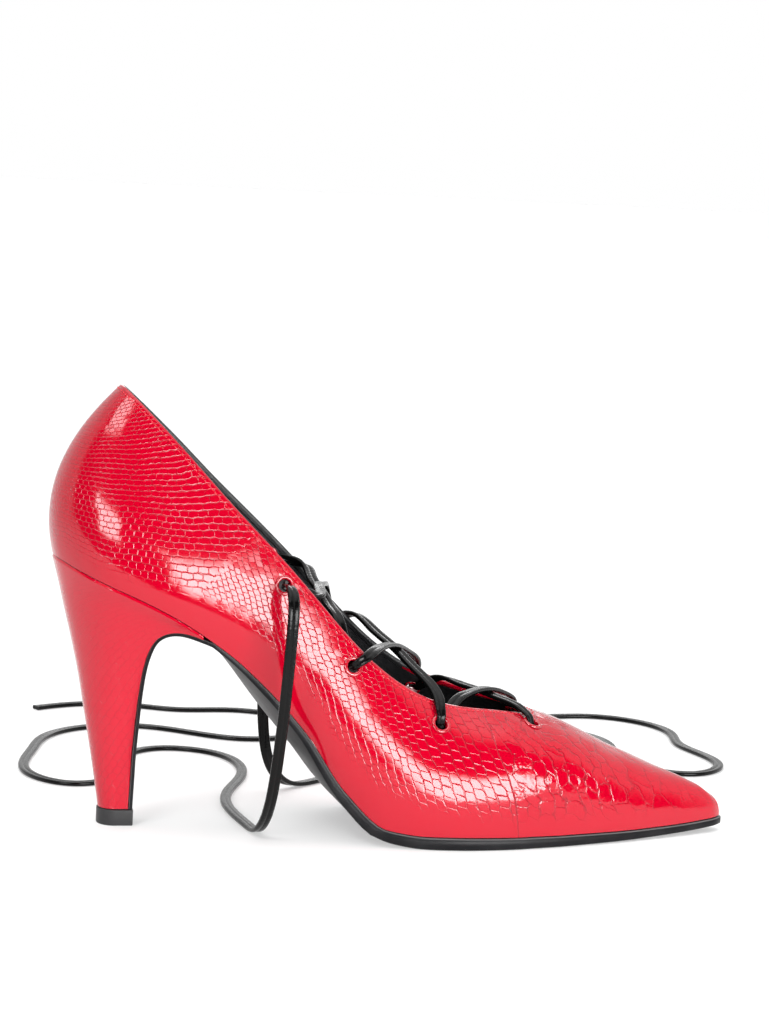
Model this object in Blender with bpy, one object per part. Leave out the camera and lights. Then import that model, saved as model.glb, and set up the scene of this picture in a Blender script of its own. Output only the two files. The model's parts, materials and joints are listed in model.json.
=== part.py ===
# A right-foot high-heeled court shoe with a low throat that laces across the instep.
# Metres, +Z up. The toe points along +X, the outer side of the foot is -Y, the floor is z = 0,
# and the origin is the middle of the heel tip's tread.

import bpy
import bmesh
import numpy as np
from math import cos, sin, radians, pi
from mathutils import Vector
from mathutils.bvhtree import BVHTree

# Named sizes, in metres
SHOE_LENGTH = 0.240        # bottom edge of the upper, back of the seat to the toe tip
BALL_WIDTH = 0.0760        # bottom edge of the upper, across both joints
HEEL_HEIGHT = 0.0935       # floor to the bottom edge of the upper at the back
BACK_HEIGHT = 0.1520       # floor to the top of the back
INSTEP_HEIGHT = 0.0418     # floor to the front point of the throat
THROAT_WIDTH = 0.0505      # topline, across its widest place
TIP_SETBACK = 0.0240       # back of the seat to the middle of the heel tip, level
WALL = 0.0017              # outer leather, stiffener and lining together
SOLE_THICKNESS = 0.0041    # outsole at the ball
FLAP_THICKNESS = 0.0013    # outsole leather down the heel breast
SOLE_EDGE = 0.0008         # outsole past the upper at the forepart
SHANK_BELLY = 0.0046       # how far the waist of the outsole swells below its edges
INSOLE_THICKNESS = 0.0016
INSOLE_LIFT = 0.0002
INSOLE_END = 0.0030
MIN_STEP = 0.0010
TIP_LENGTH = 0.0101        # heel block where it meets the top-lift
TIP_WIDTH = 0.0124
RIM_BAND = 0.0009          # upright band of the heel block under the seat
LIFT_HEIGHT = 0.0056       # rubber top-lift
LIFT_MARGIN = 0.0003
LACE_WIDTH = 0.0040
LACE_THICKNESS = 0.0016
EYELET_BORE = 0.00215      # radius of the hole that the lace runs through
EYELET_TUBE = 0.00045      # metal around the bore
EYELET_FLANGE = 0.0033     # radius of the outside rim
EYELET_FLANGE_HEIGHT = 0.0006
EYELET_WASHER = 0.0031     # radius of the turned rim inside
EYELET_TURN = 0.0004       # height of that rim
EYELET_SIDES = 12
GAP = 0.0003               # between pieces that touch on the real shoe

BACK_X = -TIP_SETBACK

# The last, as stations from the back of the heel (first row) to the toe tip (last row). Each station
# has a foot point on the upper's bottom edge and a top point on its topline, or on the ridge of the
# toe once the throat is closed, and the leather runs between them in one curve.
LAST_COLUMNS = (
    "foot_along",      # share of SHOE_LENGTH
    "foot_outer",      # half width to -Y, share of BALL_WIDTH
    "foot_inner",      # half width to +Y, share of BALL_WIDTH
    "foot_rise",       # share of HEEL_HEIGHT above the sole
    "top_along",       # share of SHOE_LENGTH
    "top_outer",       # half width to -Y, share of THROAT_WIDTH
    "top_inner",       # half width to +Y, share of THROAT_WIDTH
    "top_outer_rise",  # share of BACK_HEIGHT - INSTEP_HEIGHT above the throat's front point
    "top_inner_rise",
    "lean",            # degrees that the leather leans outwards at the foot
    "foot_hold",       # share of the distance from foot to top
    "drop",            # degrees that the leather falls away at the top
    "top_hold",
)
LAST = (
    (0.000, 0.000, 0.000, 1.000, 0.0892, 0.000, 0.000, 1.000, 1.000, 14, 0.37, 44, 0.40),
    (0.010, 0.127, 0.123, 0.991, 0.0942, 0.104, 0.100, 0.992, 0.992, 14, 0.37, 47, 0.39),
    (0.040, 0.253, 0.247, 0.959, 0.1108, 0.192, 0.186, 0.960, 0.961, 14, 0.36, 57, 0.37),
    (0.080, 0.336, 0.327, 0.918, 0.1458, 0.288, 0.280, 0.886, 0.890, 15, 0.34, 67, 0.34),
    (0.130, 0.373, 0.360, 0.865, 0.1875, 0.364, 0.352, 0.792, 0.802, 16, 0.33, 76, 0.31),
    (0.180, 0.377, 0.355, 0.799, 0.2290, 0.416, 0.402, 0.696, 0.712, 18, 0.33, 77, 0.31),
    (0.240, 0.355, 0.311, 0.694, 0.2750, 0.453, 0.440, 0.594, 0.618, 21, 0.34, 76, 0.31),
    (0.300, 0.336, 0.280, 0.552, 0.3250, 0.479, 0.467, 0.484, 0.516, 23, 0.35, 73, 0.31),
    (0.360, 0.339, 0.292, 0.379, 0.3750, 0.495, 0.488, 0.366, 0.408, 22, 0.36, 69, 0.31),
    (0.420, 0.382, 0.343, 0.152, 0.4250, 0.505, 0.500, 0.248, 0.296, 18, 0.37, 63, 0.31),
    (0.480, 0.437, 0.413, 0.018, 0.4750, 0.500, 0.503, 0.152, 0.193, 13, 0.37, 56, 0.33),
    (0.540, 0.472, 0.474, 0.000, 0.5270, 0.468, 0.480, 0.084, 0.114, 10, 0.36, 48, 0.36),
    (0.600, 0.475, 0.508, 0.000, 0.5790, 0.420, 0.436, 0.050, 0.064, 7, 0.36, 38, 0.40),
    (0.660, 0.448, 0.483, 0.000, 0.6290, 0.350, 0.368, 0.034, 0.034, 4, 0.36, 26, 0.45),
    (0.695, 0.420, 0.447, 0.001, 0.6730, 0.232, 0.252, 0.015, 0.015, 2, 0.37, 14, 0.52),
    (0.715, 0.402, 0.424, 0.001, 0.6950, 0.116, 0.128, 0.004, 0.004, 2, 0.38, 6, 0.59),
    (0.730, 0.388, 0.407, 0.001, 0.7033, 0.000, 0.000, 0.000, 0.000, 1, 0.39, 0, 0.63),
    (0.760, 0.357, 0.366, 0.002, 0.7350, 0.000, 0.000, -0.018, -0.018, 0, 0.39, 0, 0.62),
    (0.800, 0.312, 0.314, 0.003, 0.7780, 0.000, 0.000, -0.057, -0.057, 0, 0.39, 0, 0.60),
    (0.840, 0.265, 0.262, 0.005, 0.8200, 0.000, 0.000, -0.102, -0.102, 0, 0.39, 0, 0.57),
    (0.880, 0.210, 0.205, 0.008, 0.8600, 0.000, 0.000, -0.138, -0.138, -1, 0.39, 0, 0.55),
    (0.920, 0.153, 0.147, 0.012, 0.8970, 0.000, 0.000, -0.172, -0.172, -1, 0.39, 0, 0.53),
    (0.950, 0.108, 0.102, 0.016, 0.9260, 0.000, 0.000, -0.196, -0.196, -2, 0.40, 0, 0.50),
    (0.975, 0.067, 0.063, 0.020, 0.9470, 0.000, 0.000, -0.215, -0.215, -2, 0.42, 0, 0.50),
    (0.990, 0.037, 0.035, 0.023, 0.9590, 0.000, 0.000, -0.227, -0.227, -2, 0.43, 0, 0.50),
    (1.000, 0.000, 0.000, 0.025, 0.9650, 0.000, 0.000, -0.235, -0.235, -2, 0.44, 0, 0.50),
)
THROAT_ROW = 16            # the station at the front point of the throat
THROAT_EASE = 2.0          # stations either side of it over which the top point slows down
TIP_ROW = len(LAST) - 1
RIDGE_SHIFT = 0.030        # the ridge lies this share of BALL_WIDTH towards +Y at the throat

# Outsole thickness (share of SOLE_THICKNESS) and belly (share of SHANK_BELLY) at shares of the length
SOLE_COLUMNS = ("along", "thick", "belly")
SOLE = (
    (0.225, 0.32, 0.10),
    (0.260, 0.40, 0.45),
    (0.300, 0.50, 0.85),
    (0.350, 0.64, 1.00),
    (0.400, 0.78, 0.60),
    (0.440, 0.90, 0.15),
    (0.480, 1.00, 0.00),
    (0.650, 1.00, 0.00),
    (0.800, 0.86, 0.00),
    (0.920, 0.72, 0.00),
    (1.000, 0.66, 0.00),
)
FLAP_JOIN = 0.225          # where the outsole leaves the upper for the heel breast, share of the length

# The heel breast from the tip up to the join: how far forward (share of the way from the tip to the
# join), how high (share of the join's height) and how wide (half width, share of BALL_WIDTH)
BREAST_COLUMNS = ("reach", "rise", "half")
BREAST = (
    (0.000, 0.087, 0.079),
    (0.010, 0.220, 0.084),
    (0.020, 0.370, 0.093),
    (0.038, 0.500, 0.108),
    (0.055, 0.620, 0.128),
    (0.076, 0.740, 0.160),
    (0.106, 0.845, 0.200),
    (0.160, 0.935, 0.240),
    (0.250, 1.002, 0.270),
    (0.390, 1.036, 0.293),
    (0.540, 1.044, 0.309),
    (0.690, 1.036, 0.322),
    (0.840, 1.019, 0.333),
)

# How the heel block's sides run from the seat down to the tip, row by row: share of the way in plan and
# share of the way down, at the back; the breast end follows BREAST
HEEL_BACK = (
    (0.00, 0.00), (0.07, 0.055), (0.14, 0.11), (0.22, 0.18), (0.31, 0.255), (0.40, 0.33), (0.49, 0.41),
    (0.57, 0.49), (0.645, 0.575), (0.72, 0.66), (0.80, 0.75), (0.90, 0.87), (1.00, 1.00),
)

# Eyelets from the top pair down to the throat: station along the last and distance below the topline
EYELET_COLUMNS = ("station", "below")
EYELETS = ((6.95, 0.0080), (9.02, 0.0084), (11.42, 0.0096), (14.60, 0.0092))

# Free lace ends, hand-laid: from the top eyelet down the side, then loose on the floor
OUTER_END_ROUTE = (
    (0.0532, -0.0269, 0.0884), (0.0539, -0.0315, 0.0887), (0.0544, -0.0360, 0.0875),
    (0.0546, -0.0393, 0.0842), (0.0545, -0.0405, 0.0790), (0.0540, -0.0400, 0.0660),
    (0.0532, -0.0388, 0.0500), (0.0522, -0.0368, 0.0340), (0.0512, -0.0334, 0.0200),
    (0.0500, -0.0270, 0.0092), (0.0482, -0.0180, 0.0032), (0.0464, -0.0080, 0.0021),
    (0.0434, 0.0090, 0.0021), (0.0420, 0.0270, 0.0021), (0.0450, 0.0470, 0.0021),
    (0.0510, 0.0670, 0.0021), (0.0530, 0.0900, 0.0021), (0.0440, 0.1110, 0.0021),
    (0.0250, 0.1170, 0.0021), (0.0110, 0.1030, 0.0021), (0.0100, 0.0820, 0.0021),
    (0.0040, 0.0620, 0.0021), (-0.0120, 0.0540, 0.0021), (-0.0250, 0.0660, 0.0021),
    (-0.0280, 0.0880, 0.0021), (-0.0240, 0.1120, 0.0021), (-0.0180, 0.1360, 0.0021),
    (-0.0020, 0.1540, 0.0021), (0.0200, 0.1580, 0.0021), (0.0400, 0.1470, 0.0021),
    (0.0600, 0.1370, 0.0021), (0.0800, 0.1440, 0.0021), (0.0880, 0.1630, 0.0021),
    (0.0800, 0.1840, 0.0021), (0.0600, 0.1940, 0.0021), (0.0380, 0.1930, 0.0021),
    (0.0170, 0.2010, 0.0021), (-0.0040, 0.2000, 0.0021), (-0.0200, 0.1910, 0.0021),
)
INNER_END_ROUTE = (
    (0.0530, 0.0277, 0.0915), (0.0532, 0.0322, 0.0918), (0.0535, 0.0367, 0.0906),
    (0.0538, 0.0400, 0.0873), (0.0540, 0.0412, 0.0820), (0.0542, 0.0409, 0.0690),
    (0.0545, 0.0403, 0.0530), (0.0550, 0.0402, 0.0370), (0.0564, 0.0420, 0.0220),
    (0.0600, 0.0466, 0.0102), (0.0668, 0.0534, 0.0036), (0.0750, 0.0606, 0.0021),
    (0.0870, 0.0740, 0.0021), (0.0950, 0.0920, 0.0021), (0.0990, 0.1120, 0.0021),
    (0.1120, 0.1280, 0.0021), (0.1300, 0.1240, 0.0021), (0.1370, 0.1060, 0.0021),
    (0.1390, 0.0860, 0.0021), (0.1540, 0.0730, 0.0021), (0.1720, 0.0790, 0.0021),
    (0.1770, 0.0980, 0.0021), (0.1690, 0.1170, 0.0021), (0.1600, 0.1360, 0.0021),
    (0.1640, 0.1560, 0.0021), (0.1820, 0.1670, 0.0021), (0.2010, 0.1580, 0.0021),
    (0.2080, 0.1380, 0.0021), (0.2060, 0.1160, 0.0021), (0.2120, 0.0950, 0.0021),
    (0.2290, 0.0860, 0.0021), (0.2430, 0.0990, 0.0021), (0.2430, 0.1200, 0.0021),
    (0.2380, 0.1410, 0.0021), (0.2400, 0.1630, 0.0021), (0.2320, 0.1840, 0.0021),
    (0.2120, 0.1950, 0.0021), (0.1880, 0.1920, 0.0021), (0.1680, 0.1970, 0.0021),
    (0.1580, 0.2010, 0.0021),
)
CORD_STEPS = 64
CORD_TURN = 0.008
FALL_POINTS = 10
CORD_CLEAR = 0.0003
CROSSING_STEPS = 16


def clear_scene():
    for old in list(bpy.data.objects):
        bpy.data.objects.remove(old, do_unlink=True)


def table(columns, rows):
    numbers = np.array(rows, float)
    return {name: numbers[:, i] for i, name in enumerate(columns)}


def spline(knots, values, at):
    """Natural cubic through the values, read at one place or many."""
    knots = np.asarray(knots, float)
    values = np.asarray(values, float)
    step = np.diff(knots)
    slope = np.diff(values) / step
    size = len(knots)
    matrix = np.eye(size)
    right = np.zeros(size)
    for i in range(1, size - 1):
        matrix[i, i - 1] = step[i - 1]
        matrix[i, i] = 2 * (step[i - 1] + step[i])
        matrix[i, i + 1] = step[i]
        right[i] = 6 * (slope[i] - slope[i - 1])
    bend = np.linalg.solve(matrix, right)
    at = np.asarray(at, float)
    i = np.clip(np.searchsorted(knots, at, side="right") - 1, 0, size - 2)
    t = at - knots[i]
    rate = slope[i] - step[i] * (2 * bend[i] + bend[i + 1]) / 6
    return values[i] + t * (rate + t * (bend[i] / 2 + t * (bend[i + 1] - bend[i]) / (6 * step[i])))


def steady(knots, values, at):
    """Cubic through the values that never swings past them."""
    step = np.diff(knots)
    slope = np.diff(values) / step
    tangent = np.zeros(len(knots))
    tangent[0], tangent[-1] = slope[0], slope[-1]
    for i in range(1, len(knots) - 1):
        if slope[i - 1] * slope[i] > 0:
            tangent[i] = 2 * slope[i - 1] * slope[i] / (slope[i - 1] + slope[i])
    i = int(np.clip(np.searchsorted(knots, at, side="right") - 1, 0, len(knots) - 2))
    t = (at - knots[i]) / step[i]
    start = (1 + 2 * t) * (1 - t) ** 2 * values[i] + t * (1 - t) ** 2 * step[i] * tangent[i]
    return start + t * t * (3 - 2 * t) * values[i + 1] + t * t * (t - 1) * step[i] * tangent[i + 1]


LAST_TABLE = table(LAST_COLUMNS, LAST)
SOLE_TABLE = table(SOLE_COLUMNS, SOLE)
ROWS = np.arange(len(LAST))


def eased(station):
    """Slows the top point down at the throat's front, where the topline turns into the ridge."""
    away = station - THROAT_ROW
    near = min(abs(away) / THROAT_EASE, 1.0)
    return THROAT_ROW + away * near * (2.0 - near)


def last_value(name, station):
    """A column of the last at a station; what the top does has a corner at the throat's front."""
    values = LAST_TABLE[name]
    if name.startswith(("top_", "drop")):
        station = eased(station)
        if station >= THROAT_ROW:
            return float(spline(ROWS[THROAT_ROW:], values[THROAT_ROW:], station))
        return float(spline(ROWS[:THROAT_ROW + 1], values[:THROAT_ROW + 1], station))
    if name == "foot_rise":
        return float(steady(ROWS, values, station))
    return float(spline(ROWS, values, station))


def sole_thickness(along):
    return SOLE_THICKNESS * float(spline(SOLE_TABLE["along"], SOLE_TABLE["thick"], max(along, FLAP_JOIN)))


def foot_height(station):
    """Height of the upper's bottom edge, which stands on the sole or the heel block."""
    along = last_value("foot_along", station)
    base = sole_thickness(along) + GAP
    back = sole_thickness(0.0) + GAP
    return base + (HEEL_HEIGHT - back) * max(last_value("foot_rise", station), 0.0)


def foot_point(side, station):
    """Point on the upper's bottom edge; side is -1 for the outer side and 1 for the inner."""
    half = last_value("foot_outer" if side < 0 else "foot_inner", station)
    x = BACK_X + SHOE_LENGTH * last_value("foot_along", station)
    return Vector((x, side * BALL_WIDTH * half, foot_height(station)))


def bottom_at(x):
    """Height of the upper's bottom edge at a place along the shoe."""
    walk = np.linspace(0.0, TIP_ROW, 160)
    along = [BACK_X + SHOE_LENGTH * last_value("foot_along", s) for s in walk]
    return float(np.interp(x, along, [foot_height(s) for s in walk]))


def ridge_middle(x):
    """The middle line swings to the inner side at the instep and back to the toe tip."""
    share = (x - BACK_X) / SHOE_LENGTH
    return BALL_WIDTH * RIDGE_SHIFT * float(np.interp(share, (0.2, 0.45, 0.75, 0.965), (0.0, 0.8, 1.0, 0.0)))


def top_point(side, station):
    """Point on the topline, or on the ridge past the throat."""
    name = "outer" if side < 0 else "inner"
    half = 0.0 if station >= THROAT_ROW else last_value("top_" + name, station)
    rise = last_value("top_" + name + "_rise", station)
    x = BACK_X + SHOE_LENGTH * last_value("top_along", station)
    y = ridge_middle(x) + side * THROAT_WIDTH * half
    return Vector((x, y, INSTEP_HEIGHT + (BACK_HEIGHT - INSTEP_HEIGHT) * rise))


def plan_normal(side, station):
    """Outward direction of the upper's bottom edge, level."""
    step = 0.02
    before = max(station - step, 0.0)
    after = min(station + step, TIP_ROW)
    run = foot_point(side, after) - foot_point(side, before)
    if before == 0.0 and station <= step:
        run = foot_point(side, step) - foot_point(-side, step)
    if after == TIP_ROW and station >= TIP_ROW - step:
        run = foot_point(-side, TIP_ROW - step) - foot_point(side, TIP_ROW - step)
    return Vector((run.y * side * -1.0, run.x * side, 0.0)).normalized()


def ridge_fall(side, station):
    """How steeply the ridge of the toe runs down, fading out behind the throat's front."""
    middle = min(max(station, THROAT_ROW + 0.5), TIP_ROW - 0.3)
    ahead = top_point(side, middle + 0.3)
    behind = top_point(side, middle - 0.3)
    fade = max(1.0 - max(THROAT_ROW - station, 0.0) / 4.0, 0.0)
    return fade * (ahead.z - behind.z) / (ahead.x - behind.x)


def rib(side, station, count):
    """The leather of one station from foot to top, as count points."""
    foot = foot_point(side, station)
    top = top_point(side, station)
    span = (top - foot).length
    lean = radians(last_value("lean", station))
    out = plan_normal(side, station)
    foot_way = out * sin(lean) + Vector((0, 0, cos(lean)))
    across = Vector((foot.x - top.x, foot.y - top.y, 0.0)).normalized()
    flat = out.lerp(across, float(np.interp(station, (9.5, 14.0), (0.0, 1.0)))).normalized()
    drop = radians(last_value("drop", station))
    fall = ridge_fall(side, station) * flat.x
    top_way = (flat * cos(drop) - Vector((0, 0, sin(drop) - fall * cos(drop)))).normalized()
    a = foot
    b = foot + foot_way * span * last_value("foot_hold", station)
    c = top + top_way * span * last_value("top_hold", station)
    d = top
    points = []
    for t in np.linspace(0.0, 1.0, count):
        s = 1.0 - t
        points.append(a * s ** 3 + b * 3 * s * s * t + c * 3 * s * t * t + d * t ** 3)
    return points


def material(name, color, roughness, metallic=0.0, coat=0.0):
    mat = bpy.data.materials.new(name)
    mat.use_nodes = True
    shader = mat.node_tree.nodes["Principled BSDF"]
    shader.inputs["Base Color"].default_value = (*color, 1.0)
    shader.inputs["Roughness"].default_value = roughness
    shader.inputs["Metallic"].default_value = metallic
    shader.inputs["Coat Weight"].default_value = coat
    return mat


def add_object(name, mesh_builder, mat):
    """Makes an object of a bmesh, closed and facing outwards."""
    mesh = bpy.data.meshes.new(name)
    bmesh.ops.recalc_face_normals(mesh_builder, faces=mesh_builder.faces)
    mesh_builder.to_mesh(mesh)
    mesh_builder.free()
    mesh.materials.append(mat)
    obj = bpy.data.objects.new(name, mesh)
    bpy.context.scene.collection.objects.link(obj)
    return obj


def bridge(shape, first, second, closed=True):
    """Quads between two rows of vertices of equal length."""
    count = len(first)
    for i in range(count if closed else count - 1):
        j = (i + 1) % count
        corners = [first[i], first[j], second[j], second[i]]
        different = [v for k, v in enumerate(corners) if v is not corners[k - 1]]
        if len(different) > 2:
            shape.faces.new(different)


def upper_stations():
    return list(np.linspace(0, THROAT_ROW, 27)) + list(np.linspace(THROAT_ROW, TIP_ROW, 14))[1:]


def outer_skin(shape, rows):
    """The upper's outside: one vertex list per row, round the foot from the back by the outer side."""
    stations = upper_stations()
    throat = stations.index(float(THROAT_ROW))
    skin = [[] for _ in range(rows)]
    for side, walk in ((-1, stations), (1, stations[-2:0:-1])):
        for station in walk:
            for row, point in enumerate(rib(side, station, rows)):
                skin[row].append((side, station, point))
    grid = []
    ridge = {}
    for row in range(rows):
        line = []
        for side, station, point in skin[row]:
            if row == rows - 1 and station >= THROAT_ROW:
                if station not in ridge:
                    ridge[station] = shape.verts.new(point)
                line.append(ridge[station])
            else:
                line.append(shape.verts.new(point))
        grid.append(line)
    for lower, higher in zip(grid, grid[1:]):
        bridge(shape, lower, higher)
    return grid, throat


def build_upper(mat):
    rows = 12
    shape = bmesh.new()
    grid, throat = outer_skin(shape, rows)
    shape.normal_update()
    bmesh.ops.recalc_face_normals(shape, faces=shape.faces)
    shape.normal_update()
    middle = Vector((0.1, 0.0, 0.03))
    probe = min(shape.verts, key=lambda v: v.co.y)
    sign = 1.0 if probe.normal.dot(probe.co - middle) > 0 else -1.0
    inner = {}
    for vert in list(shape.verts):
        inner[vert] = shape.verts.new(vert.co - vert.normal * WALL * sign)
    for vert in grid[0]:
        inner[vert].co.z = max(inner[vert].co.z, bottom_at(inner[vert].co.x))
    for face in list(shape.faces):
        shape.faces.new([inner[v] for v in reversed(face.verts)])
    foot = grid[0]
    bridge(shape, foot, [inner[v] for v in foot])
    count = len(grid[-1])
    rim = [grid[-1][i % count] for i in range(count - throat, count + throat + 1)]
    bridge(shape, rim[:-1], [inner[v] for v in rim[:-1]])
    bmesh.ops.recalc_face_normals(shape, faces=shape.faces)
    places = eyelet_places(BVHTree.FromBMesh(shape))
    upper = add_object("upper", shape, mat)
    for place in places.values():
        cutter = eyelet_cutter(place)
        cut = upper.modifiers.new("hole", "BOOLEAN")
        cut.operation = "DIFFERENCE"
        cut.solver = "EXACT"
        cut.object = cutter
        apply_modifier(upper, cut)
        bpy.data.objects.remove(cutter, do_unlink=True)
    return places


def apply_modifier(obj, modifier):
    bpy.context.view_layer.update()
    for other in bpy.context.scene.objects:
        other.select_set(False)
    obj.select_set(True)
    bpy.context.view_layer.objects.active = obj
    bpy.ops.object.modifier_apply(modifier=modifier.name)


def down_leather(side, station, below):
    """The point of a station's leather at a distance below the topline."""
    points = rib(side, station, 200)[::-1]
    gone = 0.0
    for first, second in zip(points, points[1:]):
        gone += (second - first).length
        if gone >= below:
            return second
    return points[-1]


def eyelet_place(side, station, below):
    """Middle and outward direction of an eyelet, the direction over the reach of its rim."""
    spot = down_leather(side, station, below)
    way = down_leather(side, station, below - EYELET_FLANGE) - down_leather(side, station, below + EYELET_FLANGE)
    stride = EYELET_FLANGE / (down_leather(side, station + 0.5, below) - spot).length * 0.5
    along = down_leather(side, station + stride, below) - down_leather(side, station - stride, below)
    out = along.cross(way).normalized()
    middle = (down_leather(side, station + stride, below) + down_leather(side, station - stride, below)) / 2
    spot = spot.lerp(middle, 0.5)
    if out.y * side < 0:
        out = -out
    return spot, out


def seat_heights(skin, spot, out):
    """How high the leather's two faces reach along an eyelet's axis within its rims."""
    first = out.orthogonal().normalized()
    second = out.cross(first)
    outside = []
    inside = []
    for radius in (EYELET_FLANGE, 0.8 * EYELET_FLANGE):
        for i in range(12):
            angle = 2 * pi * i / 12
            arm = (first * cos(angle) + second * sin(angle)) * radius
            hit = skin.ray_cast(spot + arm + out * WALL * 2, -out, WALL * 6)[0]
            if hit is None:
                continue
            outside.append((hit - spot).dot(out))
            back = skin.ray_cast(hit - out * WALL * 0.3, -out, WALL * 4)[0]
            if back is not None:
                inside.append((back - spot).dot(out))
    return max(outside) + GAP, min(inside) - GAP


def eyelet_places(skin):
    """Every eyelet: its middle, its outward direction and where its two rims sit along it."""
    places = {}
    for index, (station, below) in enumerate(EYELETS):
        for side in (-1, 1):
            spot, out = eyelet_place(side, station, below)
            face, back = seat_heights(skin, spot, out)
            places[side, index] = (spot, out, face, back)
    return places


def facing(out):
    return out.to_track_quat("Z", "Y").to_matrix().to_4x4()


def eyelet_cutter(place):
    spot, out, _, _ = place
    shape = bmesh.new()
    radius = EYELET_BORE + EYELET_TUBE + GAP
    bmesh.ops.create_cone(shape, cap_ends=True, segments=EYELET_SIDES, radius1=radius, radius2=radius,
                          depth=WALL * 5)
    shape.transform(facing(out))
    bmesh.ops.translate(shape, verts=shape.verts, vec=spot)
    mesh = bpy.data.meshes.new("hole_cutter")
    shape.to_mesh(mesh)
    shape.free()
    cutter = bpy.data.objects.new("hole_cutter", mesh)
    cutter.hide_render = True
    cutter.display_type = "WIRE"
    bpy.context.scene.collection.objects.link(cutter)
    return cutter


def build_eyelet(name, place, mat):
    """A turned metal eyelet: outside rim, tube through the leather and turned rim inside."""
    spot, out, face, back = place
    tube = EYELET_BORE + EYELET_TUBE
    profile = (
        (EYELET_BORE, face + EYELET_FLANGE_HEIGHT * 0.75),
        (tube + 0.0002, face + EYELET_FLANGE_HEIGHT),
        (EYELET_FLANGE, face + EYELET_FLANGE_HEIGHT * 0.35),
        (EYELET_FLANGE, face),
        (tube, face),
        (tube, back),
        (EYELET_WASHER, back),
        (EYELET_BORE, back - EYELET_TURN),
    )
    shape = bmesh.new()
    rings = []
    for radius, height in profile:
        ring = []
        for i in range(EYELET_SIDES):
            angle = 2 * pi * i / EYELET_SIDES
            ring.append(shape.verts.new((radius * cos(angle), radius * sin(angle), height)))
        rings.append(ring)
    for first, second in zip(rings, rings[1:] + rings[:1]):
        bridge(shape, first, second)
    shape.transform(facing(out))
    bmesh.ops.translate(shape, verts=shape.verts, vec=spot)
    return add_object(name, shape, mat)


def edge_point(side, station, outwards, above):
    """A point of the upper's bottom outline moved outwards in plan, some way above the bottom's own height."""
    point = foot_point(side, station) + plan_normal(side, station) * outwards
    point.z = bottom_at(point.x) + above
    return point


def sole_stations():
    """The upper's own stations from the breast on, so that the pieces keep their gap between them."""
    first = join_station()
    return [first] + [s for s in upper_stations() if first + 0.25 < s < TIP_ROW] + [TIP_ROW - 0.04]


def build_insole(mat):
    """Follows the bottom of the last inside the upper."""
    first, *rest = sole_stations()
    stations = [0.25] + list(np.linspace(1, first, 6)) + [s for s in rest if s < TIP_ROW - 0.6]
    inset = -(WALL + GAP + 0.0005)
    shape = bmesh.new()
    rings = []
    for station in stations:
        ahead = foot_point(-1, min(station + 0.05, TIP_ROW))
        behind = foot_point(-1, station - 0.05)
        fall = Vector((ahead.x - behind.x, 0.0, ahead.z - behind.z)).normalized()
        lift = Vector((-fall.z, 0.0, fall.x)) * INSOLE_THICKNESS
        outer = edge_point(-1, station, inset, INSOLE_LIFT)
        inner = edge_point(1, station, inset, INSOLE_LIFT)
        if rings and min(outer.x, inner.x) - ends < MIN_STEP or inner.y - outer.y < INSOLE_END:
            break
        ends = max(outer.x, inner.x)
        rings.append([shape.verts.new(p) for p in (outer, inner, inner + lift, outer + lift)])
    for first, second in zip(rings, rings[1:]):
        bridge(shape, first, second)
    shape.faces.new(rings[0])
    shape.faces.new(rings[-1])
    return add_object("insole", shape, mat)


def join_station():
    walk = np.linspace(3, 8, 400)
    along = [last_value("foot_along", s) for s in walk]
    return float(np.interp(FLAP_JOIN, along, walk))


def breast_path():
    """The heel-side face of the outsole's flap, tip first: level place, height and half width."""
    join = foot_point(-1, join_station())
    start = TIP_LENGTH / 2 - 0.0005 + GAP
    path = []
    for reach, rise, half in BREAST:
        height = (join.z - GAP) * rise
        path.append((start + (join.x - start) * reach, height, BALL_WIDTH * half))
    path[0] = (path[0][0], LIFT_HEIGHT + GAP, path[0][2])
    return path


def path_normals(path):
    """Unit directions square to a path in the side view, on its left as it runs."""
    normals = []
    for i in range(len(path)):
        a = path[max(i - 1, 0)]
        b = path[min(i + 1, len(path) - 1)]
        run = Vector((b[0] - a[0], 0.0, b[1] - a[1])).normalized()
        normals.append(Vector((-run.z, 0.0, run.x)))
    return normals


def build_outsole(mat):
    """One strip of leather from the heel tip up the breast, along the waist and out to the toe."""
    sections = []
    for x, z, half in breast_path():
        sections.append(dict(x=x, z=z, outer=Vector((x, -half, z)), inner=Vector((x, half, z)),
                             thick=FLAP_THICKNESS, belly=0.0, flat=False))
    for station in sole_stations():
        along = last_value("foot_along", station)
        spread = SOLE_EDGE * float(np.interp(along, (0.25, 0.45, 0.6), (-0.3, 0.4, 1.0)))
        z = foot_height(station) - GAP
        belly = SHANK_BELLY * max(float(spline(SOLE_TABLE["along"], SOLE_TABLE["belly"], along)), 0.0)
        sections.append(dict(x=foot_point(-1, station).x, z=z, outer=edge_point(-1, station, spread, -GAP),
                             inner=edge_point(1, station, spread, -GAP), thick=sole_thickness(along),
                             belly=belly, flat=along >= 0.47))
    path = [(s["x"], s["z"]) for s in sections]
    shape = bmesh.new()
    rings = []
    for section, normal in zip(sections, path_normals(path)):
        if section["flat"]:
            normal = Vector((0.0, 0.0, 1.0))
        outer = section["outer"]
        inner = section["inner"]
        down = -normal * section["thick"]
        round_off = 0.25 * section["thick"]
        points = [inner, outer, outer + down * 0.75]
        for share in (0.0, 0.22, 0.5, 0.78, 1.0):
            point = outer.lerp(inner, share) + down
            swell = 1.0 - (2.0 * share - 1.0) ** 2
            point = point - normal * section["belly"] * swell
            if share in (0.0, 1.0):
                point = point + (inner - outer).normalized() * round_off * (1 if share == 0.0 else -1)
            points.append(point)
        points.append(inner + down * 0.75)
        for point in points[2:]:
            point.z = max(point.z, 0.0)
        rings.append([shape.verts.new(p) for p in points])
    for first_ring, second_ring in zip(rings, rings[1:]):
        bridge(shape, first_ring, second_ring)
    shape.faces.new(rings[0])
    shape.faces.new(rings[-1])
    return add_object("outsole", shape, mat)


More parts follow.
